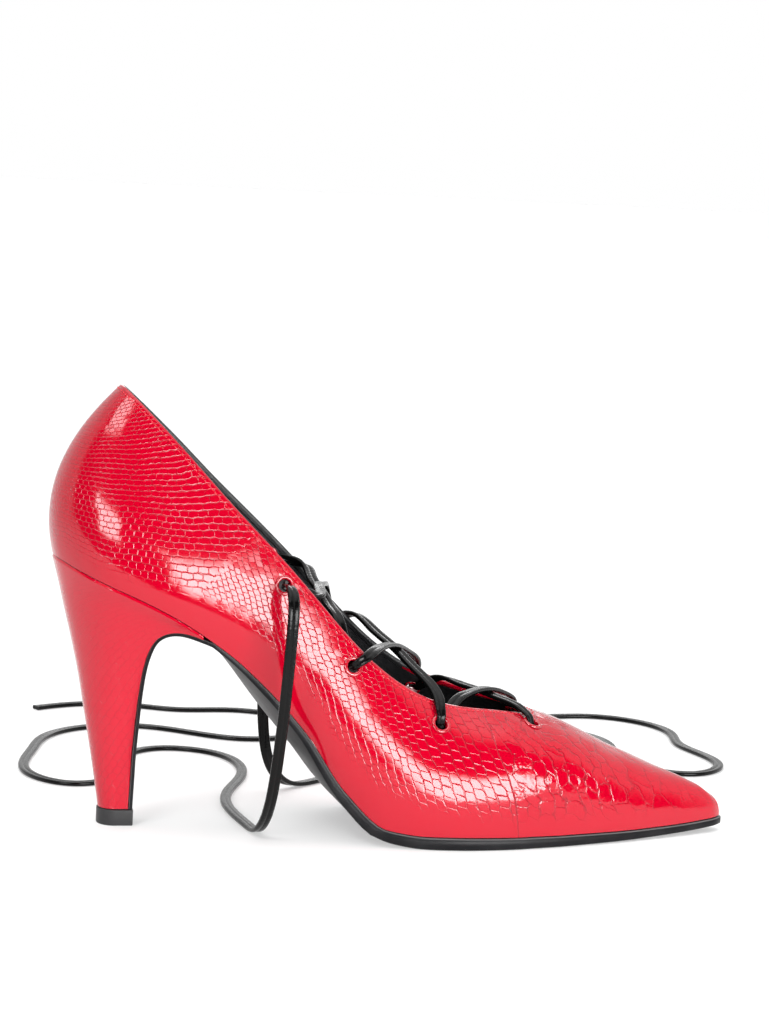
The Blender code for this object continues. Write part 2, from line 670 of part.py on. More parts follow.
def tip_outline(share, grow=0.0, front=0.0):
    """Half of the heel tip's outline, from the back round to the front corner; share runs 0 to 1."""
    back = -TIP_LENGTH / 2 - 0.0005 - grow
    corner = TIP_LENGTH / 2 - 0.0005 + front
    half = TIP_WIDTH / 2 + grow
    turn = min(share / 0.6, 1.0) * pi / 2
    x = back + (0.55 * TIP_LENGTH + grow) * (1 - cos(turn))
    y = half * sin(turn) ** 0.9
    if share > 0.6:
        x += (corner - x) * (share - 0.6) / 0.4
        y *= 1.0 - 0.06 * (share - 0.6) / 0.4
    return x, y


def build_heel(mat):
    """The covered block: seat on top, round back, and a breast that the outsole's flap lies on."""
    path = breast_path()
    normals = path_normals([(p[0], p[1]) for p in path])
    breast = [(x + n.x * GAP, z + n.z * GAP, half) for (x, z, half), n in zip(path, normals)][::-1]
    breast[-1] = (TIP_LENGTH / 2 - 0.0005, LIFT_HEIGHT + GAP, breast[-1][2])
    columns = 15
    walk = np.linspace(3, 8, 400)
    front_x = breast[0][0]
    xs = [foot_point(-1, s).x for s in walk]
    front_station = float(np.interp(front_x, xs, walk))
    shape = bmesh.new()
    rows = [[] for _ in range(len(breast) + 1)]
    for side in (-1, 1):
        order = range(columns, -1, -1) if side < 0 else range(1, columns + 1)
        for k in order:
            q = k / columns
            station = front_station * q
            seat = foot_point(side, station)
            seat.z -= GAP
            rows[0].append(shape.verts.new(seat))
            rim = seat - Vector((0, 0, RIM_BAND))
            tip_x, tip_y = tip_outline(q)
            weight = q ** 3
            for r, (bx, bz, half) in enumerate(breast):
                plan, fall = HEEL_BACK[r]
                if r == 0:
                    point = rim if k < columns else Vector((bx, rim.y, bz))
                elif r == len(breast) - 1:
                    point = Vector((tip_x, side * tip_y, LIFT_HEIGHT + GAP))
                else:
                    front_rim = breast[0]
                    share_x = (front_rim[0] - bx) / (front_rim[0] - breast[-1][0])
                    share_z = (front_rim[1] - bz) / (front_rim[1] - breast[-1][1])
                    top_half = BALL_WIDTH * BREAST[-1][2]
                    share_y = (top_half - half) / (top_half - breast[-1][2])
                    plan_x = plan * (1 - weight) + share_x * weight
                    plan_y = plan ** 0.85 * (1 - weight) + share_y * weight
                    down = fall * (1 - weight) + share_z * weight
                    point = Vector((rim.x + (tip_x - rim.x) * plan_x,
                                    rim.y + (side * tip_y - rim.y) * plan_y,
                                    rim.z + (LIFT_HEIGHT + GAP - rim.z) * down))
                    if k == columns:
                        point.x = bx
                        point.z = bz
                rows[r + 1].append(shape.verts.new(point))
    for first, second in zip(rows, rows[1:]):
        bridge(shape, first, second)
    for row in (rows[0], rows[-1]):
        outer = row[:columns + 1][::-1]
        inner = [outer[0]] + row[columns + 1:]
        bridge(shape, outer, inner, closed=False)
    return add_object("heel", shape, mat)


def build_top_lift(mat):
    """Rubber tread piece under the heel tip and the end of the flap."""
    front = GAP + FLAP_THICKNESS + LIFT_MARGIN
    shape = bmesh.new()
    rings = []
    for height, shrink in ((0.0, 0.0003), (0.0006, 0.0), (LIFT_HEIGHT, 0.0)):
        ring = []
        for side in (-1, 1):
            order = range(12, -1, -1) if side < 0 else range(1, 13)
            for k in order:
                x, y = tip_outline(k / 12, LIFT_MARGIN - shrink, front - shrink)
                ring.append(shape.verts.new((x, side * y, height)))
        rings.append(ring)
    for first, second in zip(rings, rings[1:]):
        bridge(shape, first, second)
    shape.faces.new(rings[0])
    shape.faces.new(rings[-1])
    return add_object("top_lift", shape, mat)


def smooth_route(points, count, turn=0.0):
    """Points on a smooth curve through the given ones, evenly spaced, closer where it bends when turn is above 0."""
    points = np.array([tuple(p) for p in points], float)
    knots = np.concatenate(([0.0], np.cumsum(np.linalg.norm(np.diff(points, axis=0), axis=1))))
    fine_at = np.linspace(0.0, knots[-1], 1200)
    fine = np.stack([spline(knots, points[:, i], fine_at) for i in range(3)], axis=1)
    runs = np.diff(fine, axis=0)
    lengths = np.linalg.norm(runs, axis=1)
    ways = runs / lengths[:, None]
    turns = np.concatenate(([0.0], np.linalg.norm(np.diff(ways, axis=0), axis=1)))
    gone = np.concatenate(([0.0], np.cumsum(lengths + turn * turns)))
    even = np.linspace(0.0, gone[-1], count)
    return np.stack([np.interp(even, gone, fine[:, i]) for i in range(3)], axis=1)


def flat_bar(points, flats, count, name, mat):
    """A flat lace along a route; flats are the directions its flat side faces, at the same points."""
    route = smooth_route(points, count)
    hints = np.array([tuple(f) for f in flats], float)
    places = np.linspace(0.0, 1.0, len(flats))
    shape = bmesh.new()
    rings = []
    for i in range(count):
        here = Vector(route[i])
        run = (Vector(route[min(i + 1, count - 1)]) - Vector(route[max(i - 1, 0)])).normalized()
        share = i / (count - 1)
        hint = Vector([float(np.interp(share, places, hints[:, k])) for k in range(3)])
        flat = (hint - run * hint.dot(run)).normalized()
        wide = run.cross(flat)
        ring = []
        for across, up in ((-0.5, -0.2), (-0.4, -0.5), (0.4, -0.5), (0.5, -0.2),
                           (0.5, 0.2), (0.4, 0.5), (-0.4, 0.5), (-0.5, 0.2)):
            ring.append(shape.verts.new(here + wide * across * LACE_WIDTH * 0.9 + flat * up * LACE_THICKNESS))
        rings.append(ring)
    for first, second in zip(rings, rings[1:]):
        bridge(shape, first, second)
    shape.faces.new(rings[0])
    shape.faces.new(rings[-1])
    return add_object(name, shape, mat)


def crossing_route(places, side, low, high):
    """From outside the lower eyelet, over the topline beside it, across, and in to the higher eyelet."""
    low_spot, low_out, face, _ = places[side, low]
    high_spot, high_out, _, back = places[-side, high]
    stand = face + EYELET_FLANGE_HEIGHT + GAP + LACE_THICKNESS / 2
    sunk = EYELET_TURN - back + GAP + LACE_THICKNESS / 2
    station = EYELETS[low][0]
    over = top_point(side, station - 0.45)
    far = top_point(-side, EYELETS[high][0] + 0.75)
    inward = Vector((0.0, -side, 0.0))
    clear = LACE_THICKNESS / 2 + GAP + 0.0018
    up = Vector((0.0, 0.0, 1.0))
    middle = (over + far) / 2
    points = [
        low_spot + low_out * stand,
        low_spot.lerp(over, 0.55) + low_out * (stand + 0.0013),
        over + up * clear + inward * 0.0004,
        over.lerp(middle, 0.55) + up * 0.0008,
        middle - up * 0.0006,
        middle.lerp(far, 0.55) - up * 0.0018,
        far - up * 0.0035 + inward * (-WALL - 0.0042),
        high_spot - high_out * (sunk + 0.0006),
    ]
    flats = [low_out, low_out + up * 0.2, up * 0.8 + low_out * 0.6, up, up, up,
             up * 0.6 - high_out * 0.6, -high_out * 1.0]
    flats[-1] = high_out * 1.0
    flats[-2] = up * 0.6 + high_out * 0.6
    return points, flats


def build_crossing(name, places, low, high, mat):
    """Two laces that cross over the open throat, one body where they press on each other."""
    parts = []
    for side in (-1, 1):
        points, flats = crossing_route(places, side, low, high)
        parts.append(flat_bar(points, flats, CROSSING_STEPS, name + "_b" * (side > 0), mat))
    whole, extra = parts
    join = whole.modifiers.new("join", "BOOLEAN")
    join.operation = "UNION"
    join.solver = "EXACT"
    join.object = extra
    apply_modifier(whole, join)
    bpy.data.objects.remove(extra, do_unlink=True)
    return whole


def build_bottom_bar(places, mat):
    """The lace inside the vamp between the two lowest eyelets."""
    first, first_out, _, first_back = places[-1, 3]
    second, second_out, _, second_back = places[1, 3]
    below = EYELET_TURN + GAP + LACE_THICKNESS / 2 + 0.0004
    a = first - first_out * (below - first_back)
    b = second - second_out * (below - second_back)
    middle = (a + b) / 2 + Vector((0.001, 0.0, 0.0016))
    points = [a, a.lerp(middle, 0.45), middle, b.lerp(middle, 0.45), b]
    points[1].z -= 0.0004
    points[3].z -= 0.0004
    flats = [first_out, Vector((0, -0.3, 1)), Vector((0, 0, 1)), Vector((0, 0.3, 1)), second_out]
    return flat_bar(points, flats, 12, "lace_bar", mat)


def build_cord(name, place, route, mat):
    """A free lace end as a round cord of the lace's width, its fall hung from the eyelet it leaves."""
    spot, out, face, _ = place
    start = spot + out * (face + EYELET_FLANGE_HEIGHT + GAP + CORD_CLEAR)
    shift = np.array(start) - np.array(route[0])
    fade = np.clip(1.0 - np.arange(len(route)) / FALL_POINTS, 0.0, 1.0)
    route = np.array(route) + fade[:, None] * shift
    curve = bpy.data.curves.new(name, "CURVE")
    curve.dimensions = "3D"
    curve.bevel_depth = LACE_WIDTH / 2
    curve.bevel_resolution = 2
    curve.use_fill_caps = True
    curve.resolution_u = 1
    points = smooth_route(route, CORD_STEPS, CORD_TURN)
    line = curve.splines.new("POLY")
    line.points.add(len(points) - 1)
    for target, point in zip(line.points, points):
        target.co = (point[0], point[1], max(point[2], LACE_WIDTH / 2 + 0.0001), 1.0)
    curve.materials.append(mat)
    obj = bpy.data.objects.new(name, curve)
    bpy.context.scene.collection.objects.link(obj)
    return obj


def build():
    clear_scene()
    red = material("upper_leather", (0.78, 0.006, 0.022), 0.16, coat=0.8)
    heel_red = material("heel_leather", (0.78, 0.006, 0.022), 0.18, coat=0.8)
    black_sole = material("sole_leather", (0.012, 0.012, 0.013), 0.38)
    lining = material("lining_leather", (0.010, 0.010, 0.011), 0.5)
    rubber = material("lift_rubber", (0.014, 0.014, 0.015), 0.6)
    enamel = material("eyelet_enamel", (0.70, 0.006, 0.02), 0.25, metallic=0.2)
    lace = material("lace_leather", (0.010, 0.010, 0.010), 0.3)
    places = build_upper(red)
    build_insole(lining)
    build_outsole(black_sole)
    build_heel(heel_red)
    build_top_lift(rubber)
    for (side, index), place in places.items():
        name = "eyelet_%s_%d" % ("outer" if side < 0 else "inner", index + 1)
        build_eyelet(name, place, enamel)
    for number in (1, 2, 3):
        build_crossing("lace_crossing_%d" % number, places, number, number - 1, lace)
    build_bottom_bar(places, lace)
    build_cord("lace_end_outer", places[-1, 0], OUTER_END_ROUTE, lace)
    build_cord("lace_end_inner", places[1, 0], INNER_END_ROUTE, lace)


build()
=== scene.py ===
import json
from math import cos, pi, radians, sin

import bmesh
import bpy
import numpy as np
from mathutils import Matrix, Vector
from mathutils.bvhtree import BVHTree
from mathutils.kdtree import KDTree

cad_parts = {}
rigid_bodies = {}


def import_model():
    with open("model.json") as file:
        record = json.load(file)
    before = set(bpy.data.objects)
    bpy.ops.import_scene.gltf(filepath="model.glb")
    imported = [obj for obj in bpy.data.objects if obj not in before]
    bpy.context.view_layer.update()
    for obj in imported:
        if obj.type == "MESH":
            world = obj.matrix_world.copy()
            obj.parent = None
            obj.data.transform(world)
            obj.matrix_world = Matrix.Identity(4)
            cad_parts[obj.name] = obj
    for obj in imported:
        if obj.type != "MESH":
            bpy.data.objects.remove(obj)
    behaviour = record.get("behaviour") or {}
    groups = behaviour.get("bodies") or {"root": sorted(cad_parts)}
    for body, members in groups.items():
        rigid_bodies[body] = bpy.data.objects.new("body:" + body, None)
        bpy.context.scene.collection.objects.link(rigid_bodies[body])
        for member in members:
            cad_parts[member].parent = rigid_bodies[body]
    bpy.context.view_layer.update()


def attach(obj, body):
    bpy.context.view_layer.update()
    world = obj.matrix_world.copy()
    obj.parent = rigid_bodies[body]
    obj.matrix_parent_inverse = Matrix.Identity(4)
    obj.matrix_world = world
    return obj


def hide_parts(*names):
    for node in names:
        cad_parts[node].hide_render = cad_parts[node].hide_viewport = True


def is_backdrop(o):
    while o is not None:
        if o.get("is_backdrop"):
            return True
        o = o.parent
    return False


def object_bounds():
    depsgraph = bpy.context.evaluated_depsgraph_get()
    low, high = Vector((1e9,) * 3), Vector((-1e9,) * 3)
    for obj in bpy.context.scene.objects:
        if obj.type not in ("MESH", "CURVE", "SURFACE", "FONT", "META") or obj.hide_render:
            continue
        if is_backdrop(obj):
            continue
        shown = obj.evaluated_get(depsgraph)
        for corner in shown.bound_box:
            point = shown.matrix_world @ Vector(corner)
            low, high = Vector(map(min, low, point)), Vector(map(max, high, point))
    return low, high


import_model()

# The upper's leather: patent leather pressed with a snake grain, a quarter and a vamp sewn together,
# pulled tight over a wooden last, and folded in along the topline before the lining is glued to it.

SHOE_LENGTH = 0.240
BALL_WIDTH = 0.0760
HEEL_HEIGHT = 0.0935
BACK_HEIGHT = 0.1520
INSTEP_HEIGHT = 0.0418
THROAT_WIDTH = 0.0505
BACK_X = -0.0240
SOLE_THICKNESS = 0.0041
GAP = 0.0003
WALL = 0.0017

# The last from the back of the heel to the toe tip: foot point and top point of each station
LAST_COLUMNS = ("foot_along", "foot_outer", "foot_inner", "foot_rise", "top_along", "top_outer",
                "top_inner", "top_outer_rise", "top_inner_rise", "lean", "foot_hold", "drop", "top_hold")
LAST = (
    (0.000, 0.000, 0.000, 1.000, 0.0892, 0.000, 0.000, 1.000, 1.000, 14, 0.37, 44, 0.40),
    (0.010, 0.127, 0.123, 0.991, 0.0942, 0.104, 0.100, 0.992, 0.992, 14, 0.37, 47, 0.39),
    (0.040, 0.253, 0.247, 0.959, 0.1108, 0.192, 0.186, 0.960, 0.961, 14, 0.36, 57, 0.37),
    (0.080, 0.336, 0.327, 0.918, 0.1458, 0.288, 0.280, 0.886, 0.890, 15, 0.34, 67, 0.34),
    (0.130, 0.373, 0.360, 0.865, 0.1875, 0.364, 0.352, 0.792, 0.802, 16, 0.33, 76, 0.31),
    (0.180, 0.377, 0.355, 0.799, 0.2290, 0.416, 0.402, 0.696, 0.712, 18, 0.33, 77, 0.31),
    (0.240, 0.355, 0.311, 0.694, 0.2750, 0.453, 0.440, 0.594, 0.618, 21, 0.34, 76, 0.31),
    (0.300, 0.336, 0.280, 0.552, 0.3250, 0.479, 0.467, 0.484, 0.516, 23, 0.35, 73, 0.31),
    (0.360, 0.339, 0.292, 0.379, 0.3750, 0.495, 0.488, 0.366, 0.408, 22, 0.36, 69, 0.31),
    (0.420, 0.382, 0.343, 0.152, 0.4250, 0.505, 0.500, 0.248, 0.296, 18, 0.37, 63, 0.31),
    (0.480, 0.437, 0.413, 0.018, 0.4750, 0.500, 0.503, 0.152, 0.193, 13, 0.37, 56, 0.33),
    (0.540, 0.472, 0.474, 0.000, 0.5270, 0.468, 0.480, 0.084, 0.114, 10, 0.36, 48, 0.36),
    (0.600, 0.475, 0.508, 0.000, 0.5790, 0.420, 0.436, 0.050, 0.064, 7, 0.36, 38, 0.40),
    (0.660, 0.448, 0.483, 0.000, 0.6290, 0.350, 0.368, 0.034, 0.034, 4, 0.36, 26, 0.45),
    (0.695, 0.420, 0.447, 0.001, 0.6730, 0.232, 0.252, 0.015, 0.015, 2, 0.37, 14, 0.52),
    (0.715, 0.402, 0.424, 0.001, 0.6950, 0.116, 0.128, 0.004, 0.004, 2, 0.38, 6, 0.59),
    (0.730, 0.388, 0.407, 0.001, 0.7033, 0.000, 0.000, 0.000, 0.000, 1, 0.39, 0, 0.63),
    (0.760, 0.357, 0.366, 0.002, 0.7350, 0.000, 0.000, -0.018, -0.018, 0, 0.39, 0, 0.62),
    (0.800, 0.312, 0.314, 0.003, 0.7780, 0.000, 0.000, -0.057, -0.057, 0, 0.39, 0, 0.60),
    (0.840, 0.265, 0.262, 0.005, 0.8200, 0.000, 0.000, -0.102, -0.102, 0, 0.39, 0, 0.57),
    (0.880, 0.210, 0.205, 0.008, 0.8600, 0.000, 0.000, -0.138, -0.138, -1, 0.39, 0, 0.55),
    (0.920, 0.153, 0.147, 0.012, 0.8970, 0.000, 0.000, -0.172, -0.172, -1, 0.39, 0, 0.53),
    (0.950, 0.108, 0.102, 0.016, 0.9260, 0.000, 0.000, -0.196, -0.196, -2, 0.40, 0, 0.50),
    (0.975, 0.067, 0.063, 0.020, 0.9470, 0.000, 0.000, -0.215, -0.215, -2, 0.42, 0, 0.50),
    (0.990, 0.037, 0.035, 0.023, 0.9590, 0.000, 0.000, -0.227, -0.227, -2, 0.43, 0, 0.50),
    (1.000, 0.000, 0.000, 0.025, 0.9650, 0.000, 0.000, -0.235, -0.235, -2, 0.44, 0, 0.50),
)
THROAT_ROW = 16
THROAT_EASE = 2.0
TIP_ROW = len(LAST) - 1
RIDGE_SHIFT = 0.030
# How far the ridge stands to the inner side, along the length
RIDGE_LEAN = ((0.2, 0.0), (0.45, 0.8), (0.75, 1.0), (0.965, 0.0))

# Outsole: share of the length, thickness and belly, each as a share
SOLE = ((0.225, 0.32, 0.10), (0.260, 0.40, 0.45), (0.300, 0.50, 0.85), (0.350, 0.64, 1.00),
        (0.400, 0.78, 0.60), (0.440, 0.90, 0.15), (0.480, 1.00, 0.00), (0.650, 1.00, 0.00),
        (0.800, 0.86, 0.00), (0.920, 0.72, 0.00), (1.000, 0.66, 0.00))
FLAP_JOIN = 0.225


class Curve:
    """A natural cubic through values at knots."""

    def __init__(self, knots, values):
        self.knots = np.asarray(knots, float)
        self.values = np.asarray(values, float)
        self.step = np.diff(self.knots)
        slope = np.diff(self.values) / self.step
        size = len(self.knots)
        matrix = np.eye(size)
        right = np.zeros(size)
        for i in range(1, size - 1):
            matrix[i, i - 1:i + 2] = (self.step[i - 1], 2 * (self.step[i - 1] + self.step[i]), self.step[i])
            right[i] = 6 * (slope[i] - slope[i - 1])
        self.bend = np.linalg.solve(matrix, right)
        self.slope = slope

    def __call__(self, at):
        at = np.asarray(at, float)
        i = np.clip(np.searchsorted(self.knots, at, side="right") - 1, 0, len(self.knots) - 2)
        t = at - self.knots[i]
        rate = self.slope[i] - self.step[i] * (2 * self.bend[i] + self.bend[i + 1]) / 6
        turn = (self.bend[i + 1] - self.bend[i]) / (6 * self.step[i])
        return self.values[i] + t * (rate + t * (self.bend[i] / 2 + t * turn))


class Steady(Curve):
    """A cubic through the values that never swings past them."""

    def __init__(self, knots, values):
        super().__init__(knots, values)
        rate = np.zeros(len(self.knots))
        rate[0], rate[-1] = self.slope[0], self.slope[-1]
        for i in range(1, len(rate) - 1):
            a, b = self.slope[i - 1:i + 1]
            rate[i] = 2 * a * b / (a + b) if a * b > 0 else 0.0
        self.rate = rate

    def __call__(self, at):
        i = np.clip(np.searchsorted(self.knots, at, side="right") - 1, 0, len(self.knots) - 2)
        h = self.step[i]
        t = (at - self.knots[i]) / h
        start = (1 + 2 * t) * (1 - t) ** 2 * self.values[i] + t * (1 - t) ** 2 * h * self.rate[i]
        return start + t * t * (3 - 2 * t) * self.values[i + 1] + t * t * (t - 1) * h * self.rate[i + 1]


def running(steps):
    """The running total of steps, from 0."""
    return np.concatenate(([0.0], np.cumsum(steps)))


def travelled(points):
    """How far each point lies along the run of points."""
    return running(np.linalg.norm(np.diff(points, axis=0), axis=1))


def at_places(at, knots, points):
    """Points at places along a run of points that lie at knots."""
    points = np.array([tuple(p) for p in points], float)
    return np.stack([np.interp(at, knots, points[:, k]) for k in range(points.shape[1])], axis=-1)


def read(table, at):
    """The value between the rows of a table."""
    return np.interp(at, *zip(*table))


stations = np.arange(len(LAST))
column = {}
for place, word in enumerate(LAST_COLUMNS):
    row = np.array([line[place] for line in LAST], float)
    if word.startswith(("top_", "drop")):
        column[word] = (Curve(stations[:THROAT_ROW + 1], row[:THROAT_ROW + 1]),
                        Curve(stations[THROAT_ROW:], row[THROAT_ROW:]))
    elif word == "foot_rise":
        column[word] = Steady(stations, row)
    else:
        column[word] = Curve(stations, row)
sole_thick = Curve([s[0] for s in SOLE], [s[1] for s in SOLE])
sole_belly = Curve([s[0] for s in SOLE], [s[2] for s in SOLE])


def last_at(word, station):
    """A column of the last at a station."""
    if isinstance(column[word], tuple):
        away = station - THROAT_ROW
        near = min(abs(away) / THROAT_EASE, 1.0)
        station = THROAT_ROW + away * near * (2.0 - near)
        return float(column[word][int(station >= THROAT_ROW)](station))
    return float(column[word](station))


def sole_at(along):
    return SOLE_THICKNESS * float(sole_thick(max(along, FLAP_JOIN)))


def foot_height(station):
    base = sole_at(last_at("foot_along", station)) + GAP
    back = sole_at(0.0) + GAP
    return base + (HEEL_HEIGHT - back) * max(last_at("foot_rise", station), 0.0)


def foot_point(side, station):
    half = last_at("foot_outer" if side < 0 else "foot_inner", station)
    x = BACK_X + SHOE_LENGTH * last_at("foot_along", station)
    return Vector((x, side * BALL_WIDTH * half, foot_height(station)))


def top_point(side, station):
    word = "outer" if side < 0 else "inner"
    half = 0.0 if station >= THROAT_ROW else last_at("top_" + word, station)
    rise = last_at("top_" + word + "_rise", station)
    share = last_at("top_along", station)
    middle = BALL_WIDTH * RIDGE_SHIFT * float(read(RIDGE_LEAN, share))
    return Vector((BACK_X + SHOE_LENGTH * share, middle + side * THROAT_WIDTH * half,
                   INSTEP_HEIGHT + (BACK_HEIGHT - INSTEP_HEIGHT) * rise))


def plan_normal(side, station):
    """Outward level direction of the bottom outline."""
    step = 0.02
    before, after = max(station - step, 0.0), min(station + step, TIP_ROW)
    run = foot_point(side, after) - foot_point(side, before)
    if station <= step:
        run = foot_point(side, step) - foot_point(-side, step)
    if station >= TIP_ROW - step:
        run = foot_point(-side, TIP_ROW - step) - foot_point(side, TIP_ROW - step)
    return Vector((run.y * side * -1.0, run.x * side, 0.0)).normalized()


def rib(side, station, shares):
    """The leather of one station at shares of the way from foot to top."""
    foot, top = foot_point(side, station), top_point(side, station)
    span = (top - foot).length
    lean = radians(last_at("lean", station))
    out = plan_normal(side, station)
    foot_way = out * sin(lean) + Vector((0, 0, cos(lean)))
    across = Vector((foot.x - top.x, foot.y - top.y, 0.0)).normalized()
    flat = out.lerp(across, float(np.interp(station, (9.5, 14.0), (0.0, 1.0)))).normalized()
    drop = radians(last_at("drop", station))
    middle = min(max(station, THROAT_ROW + 0.5), TIP_ROW - 0.3)
    ahead, behind = top_point(side, middle + 0.3), top_point(side, middle - 0.3)
    fade = max(1.0 - max(THROAT_ROW - station, 0.0) / 4.0, 0.0)
    fall = fade * (ahead.z - behind.z) / (ahead.x - behind.x) * flat.x
    top_way = (flat * cos(drop) - Vector((0, 0, sin(drop) - fall * cos(drop)))).normalized()
    b = foot + foot_way * span * last_at("foot_hold", station)
    c = top + top_way * span * last_at("top_hold", station)
    a, b, c, d = (np.array(p) for p in (foot, b, c, top))
    t = np.asarray(shares)[:, None]
    s = 1.0 - t
    return a * s ** 3 + b * 3 * s * s * t + c * 3 * s * t * t + d * t ** 3


def bridge(shape, first, second, closed=True):
    """Quads between two rows of vertices of equal length."""
    count = len(first)
    made = []
    for i in range(count if closed else count - 1):
        j = (i + 1) % count
        corners = [first[i], first[j], second[j], second[i]]
        different = [v for k, v in enumerate(corners) if v is not corners[k - 1]]
        if len(different) > 2:
            made.append(shape.faces.new(different))
    return made


def select_only(piece):
    for other in bpy.context.scene.objects:
        other.select_set(other == piece)
    bpy.context.view_layer.objects.active = piece


def into_scene(name, shape, finish, nodes=(), smooth=38):
    """Makes a piece of a bmesh with its finish, rides it on the shoe, and hides the nodes that it stands for.
    """
    bmesh.ops.recalc_face_normals(shape, faces=shape.faces)
    if shape.calc_volume(signed=True) < 0:
        bmesh.ops.reverse_faces(shape, faces=shape.faces)
    mesh = bpy.data.meshes.new(name)
    shape.to_mesh(mesh)
    shape.free()
    mesh.materials.append(finish)
    piece = bpy.data.objects.new(name, mesh)
    bpy.context.scene.collection.objects.link(piece)
    select_only(piece)
    bpy.ops.object.shade_smooth_by_angle(angle=radians(smooth))
    dress(piece, nodes)
    return piece


def dress(piece, nodes=()):
    """Rides the piece on the shoe and hides the nodes that it stands for."""
    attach(piece, "root")
    if nodes:
        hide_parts(*nodes)


class Wire:
    """A number on its way through a finish's nodes."""

    def __init__(self, finish, socket):
        self.finish = finish
        self.socket = socket

    def maths(self, operation, *others, flip=False):
        values = (*others, self) if flip else (self, *others)
        return self.finish.make("Math", {"operation": operation}, dict(enumerate(values)))

    def __add__(self, other): return self.maths("ADD", other)
    def __sub__(self, other): return self.maths("SUBTRACT", other)
    def __mul__(self, other): return self.maths("MULTIPLY", other)
    def __truediv__(self, other): return self.maths("DIVIDE", other)
    def __radd__(self, other): return self.maths("ADD", other)
    def __rsub__(self, other): return self.maths("SUBTRACT", other, flip=True)
    def __abs__(self): return self.maths("ABSOLUTE")
    def least(self, other): return self.maths("MINIMUM", other)
    def most(self, other): return self.maths("MAXIMUM", other)
    def part(self): return self.maths("FRACT")
    def under(self, other): return self.maths("LESS_THAN", other)

    def ramp(self, low, high):
        """0 below low, 1 above high, smooth between."""
        return self.finish.make("MapRange", {"interpolation_type": "SMOOTHSTEP"},
                                {"Value": self, "From Min": low, "From Max": high})


class Finish:
    """A material and its one shader."""

    def __init__(self, name, color, roughness, **fixed):
        self.material = bpy.data.materials.new(name)
        self.material.use_nodes = True
        self.tree = self.material.node_tree
        self.shader = self.tree.nodes["Principled BSDF"]
        self.set(Base_Color=color, Roughness=roughness, **fixed)

    def feed(self, socket, value):
        if isinstance(value, Wire):
            self.tree.links.new(value.socket, socket)
        elif isinstance(value, tuple) and len(value) == 3 and socket.type == "RGBA":
            socket.default_value = (*value, 1.0)
        else:
            socket.default_value = value

    def make(self, kind, settings=None, sockets=None, out=0):
        """A node with its settings, then the values or links of its sockets."""
        node = self.tree.nodes.new("ShaderNode" + kind)
        for word, value in (settings or {}).items():
            setattr(node, word, value)
        for word, value in (sockets or {}).items():
            self.feed(node.inputs[word], value)
        return Wire(self, node.outputs[out])

    def place(self, word="Object"):
        return self.make("TexCoord", out=("Generated", "Normal", "UV", "Object").index(word))

    def split(self, vector):
        return [self.make("SeparateXYZ", sockets={0: vector}, out=i) for i in range(3)]

    def join(self, x, y, z=0.0):
        return self.make("CombineXYZ", sockets={0: x, 1: y, 2: z})

    def noise(self, vector, scale, detail=2.0, out=0):
        return self.make("TexNoise", {}, {"Vector": vector, "Scale": scale, "Detail": detail}, out=out)

    def mix(self, share, first, second):
        return self.make("Mix", {"data_type": "RGBA"}, {0: share, 6: first, 7: second}, out=2)

    def bump(self, height, depth):
        return self.make("Bump", {}, {"Height": height, "Distance": depth, "Strength": 1.0})

    def set(self, **links):
        for word, value in links.items():
            self.feed(self.shader.inputs[word.replace("_", " ")], value)
        return self.material


# The vamp seam from the topline down, along and above the floor
SEAM = ((0.1245, 0.0445), (0.1268, 0.0385), (0.1285, 0.0325), (0.1318, 0.0253), (0.1340, 0.0180),
        (0.1353, 0.0114), (0.1362, 0.0050))
VAMP_SHIFT = (40.3, 7.6)
VAMP_SHRINK = (0.24, 0.26)
GROOVE = 0.10              # width of the grooves between scales, as a share of a scale
SEAM_GROOVE = 0.00035
# Darker red painted into the grooves between the scales and along the vamp seam: painted shade
GROOVE_SHADE_RED = (0.12, 0.0, 0.005)
PATENT_RED = (0.375, 0.0002, 0.0115)
PATENT_BUMP = 0.00008
# How fine the unevennesses of the skin are, per metre, from coarse to fine
WANDER, SWELL, BREAKS, SEAM_WANDER, PORES = 85.0, 210.0, 260.0, 300.0, 1100.0
# A scale of the rows and one of the net: width, height, steepness and shallowness of its tips, slant
ROW_SCALE = (0.52, 1.6, 2.4, 0.020, 1.1)
NET_SCALE = (1.7, 0.50, 1.7, 0.035, 0.7)


def scales(finish, u, v, wide, high, steep, shallow, level):
    """Two staggered lattices of scales: how deep in a groove, and each scale's own slant."""
    cells = []
    for shift in (0.0, 0.5):
        a, b = u + shift, v + shift
        x, y = a.part() - 0.5, b.part() - 0.5
        cells.append((x, y, x * x * wide ** 2 + y * y * high ** 2, a - x, b - y))
    first, other = cells
    near = first[2].under(other[2])
    far = 1.0 - near
    x, y, _, home_x, home_y = [near * p + far * q for p, q in zip(first, other)]
    reach = (0.25 * wide ** 2 + 0.25 * high ** 2) ** 0.5
    tips = (0.5 - abs(y)) * high if high < wide else (0.5 - abs(x)) * wide
    edge = (abs(first[2] - other[2]) / (2 * reach)).least(tips * steep + shallow)
    home = finish.join(home_x, home_y + near * 7.0)
    slant = finish.split(finish.make("TexWhiteNoise", {"noise_dimensions": "2D"}, {"Vector": home}, out=1))
    return edge, x * (slant[0] - 0.5) * 1.6 + y * ((slant[1] - 0.5) * 1.2 + level)


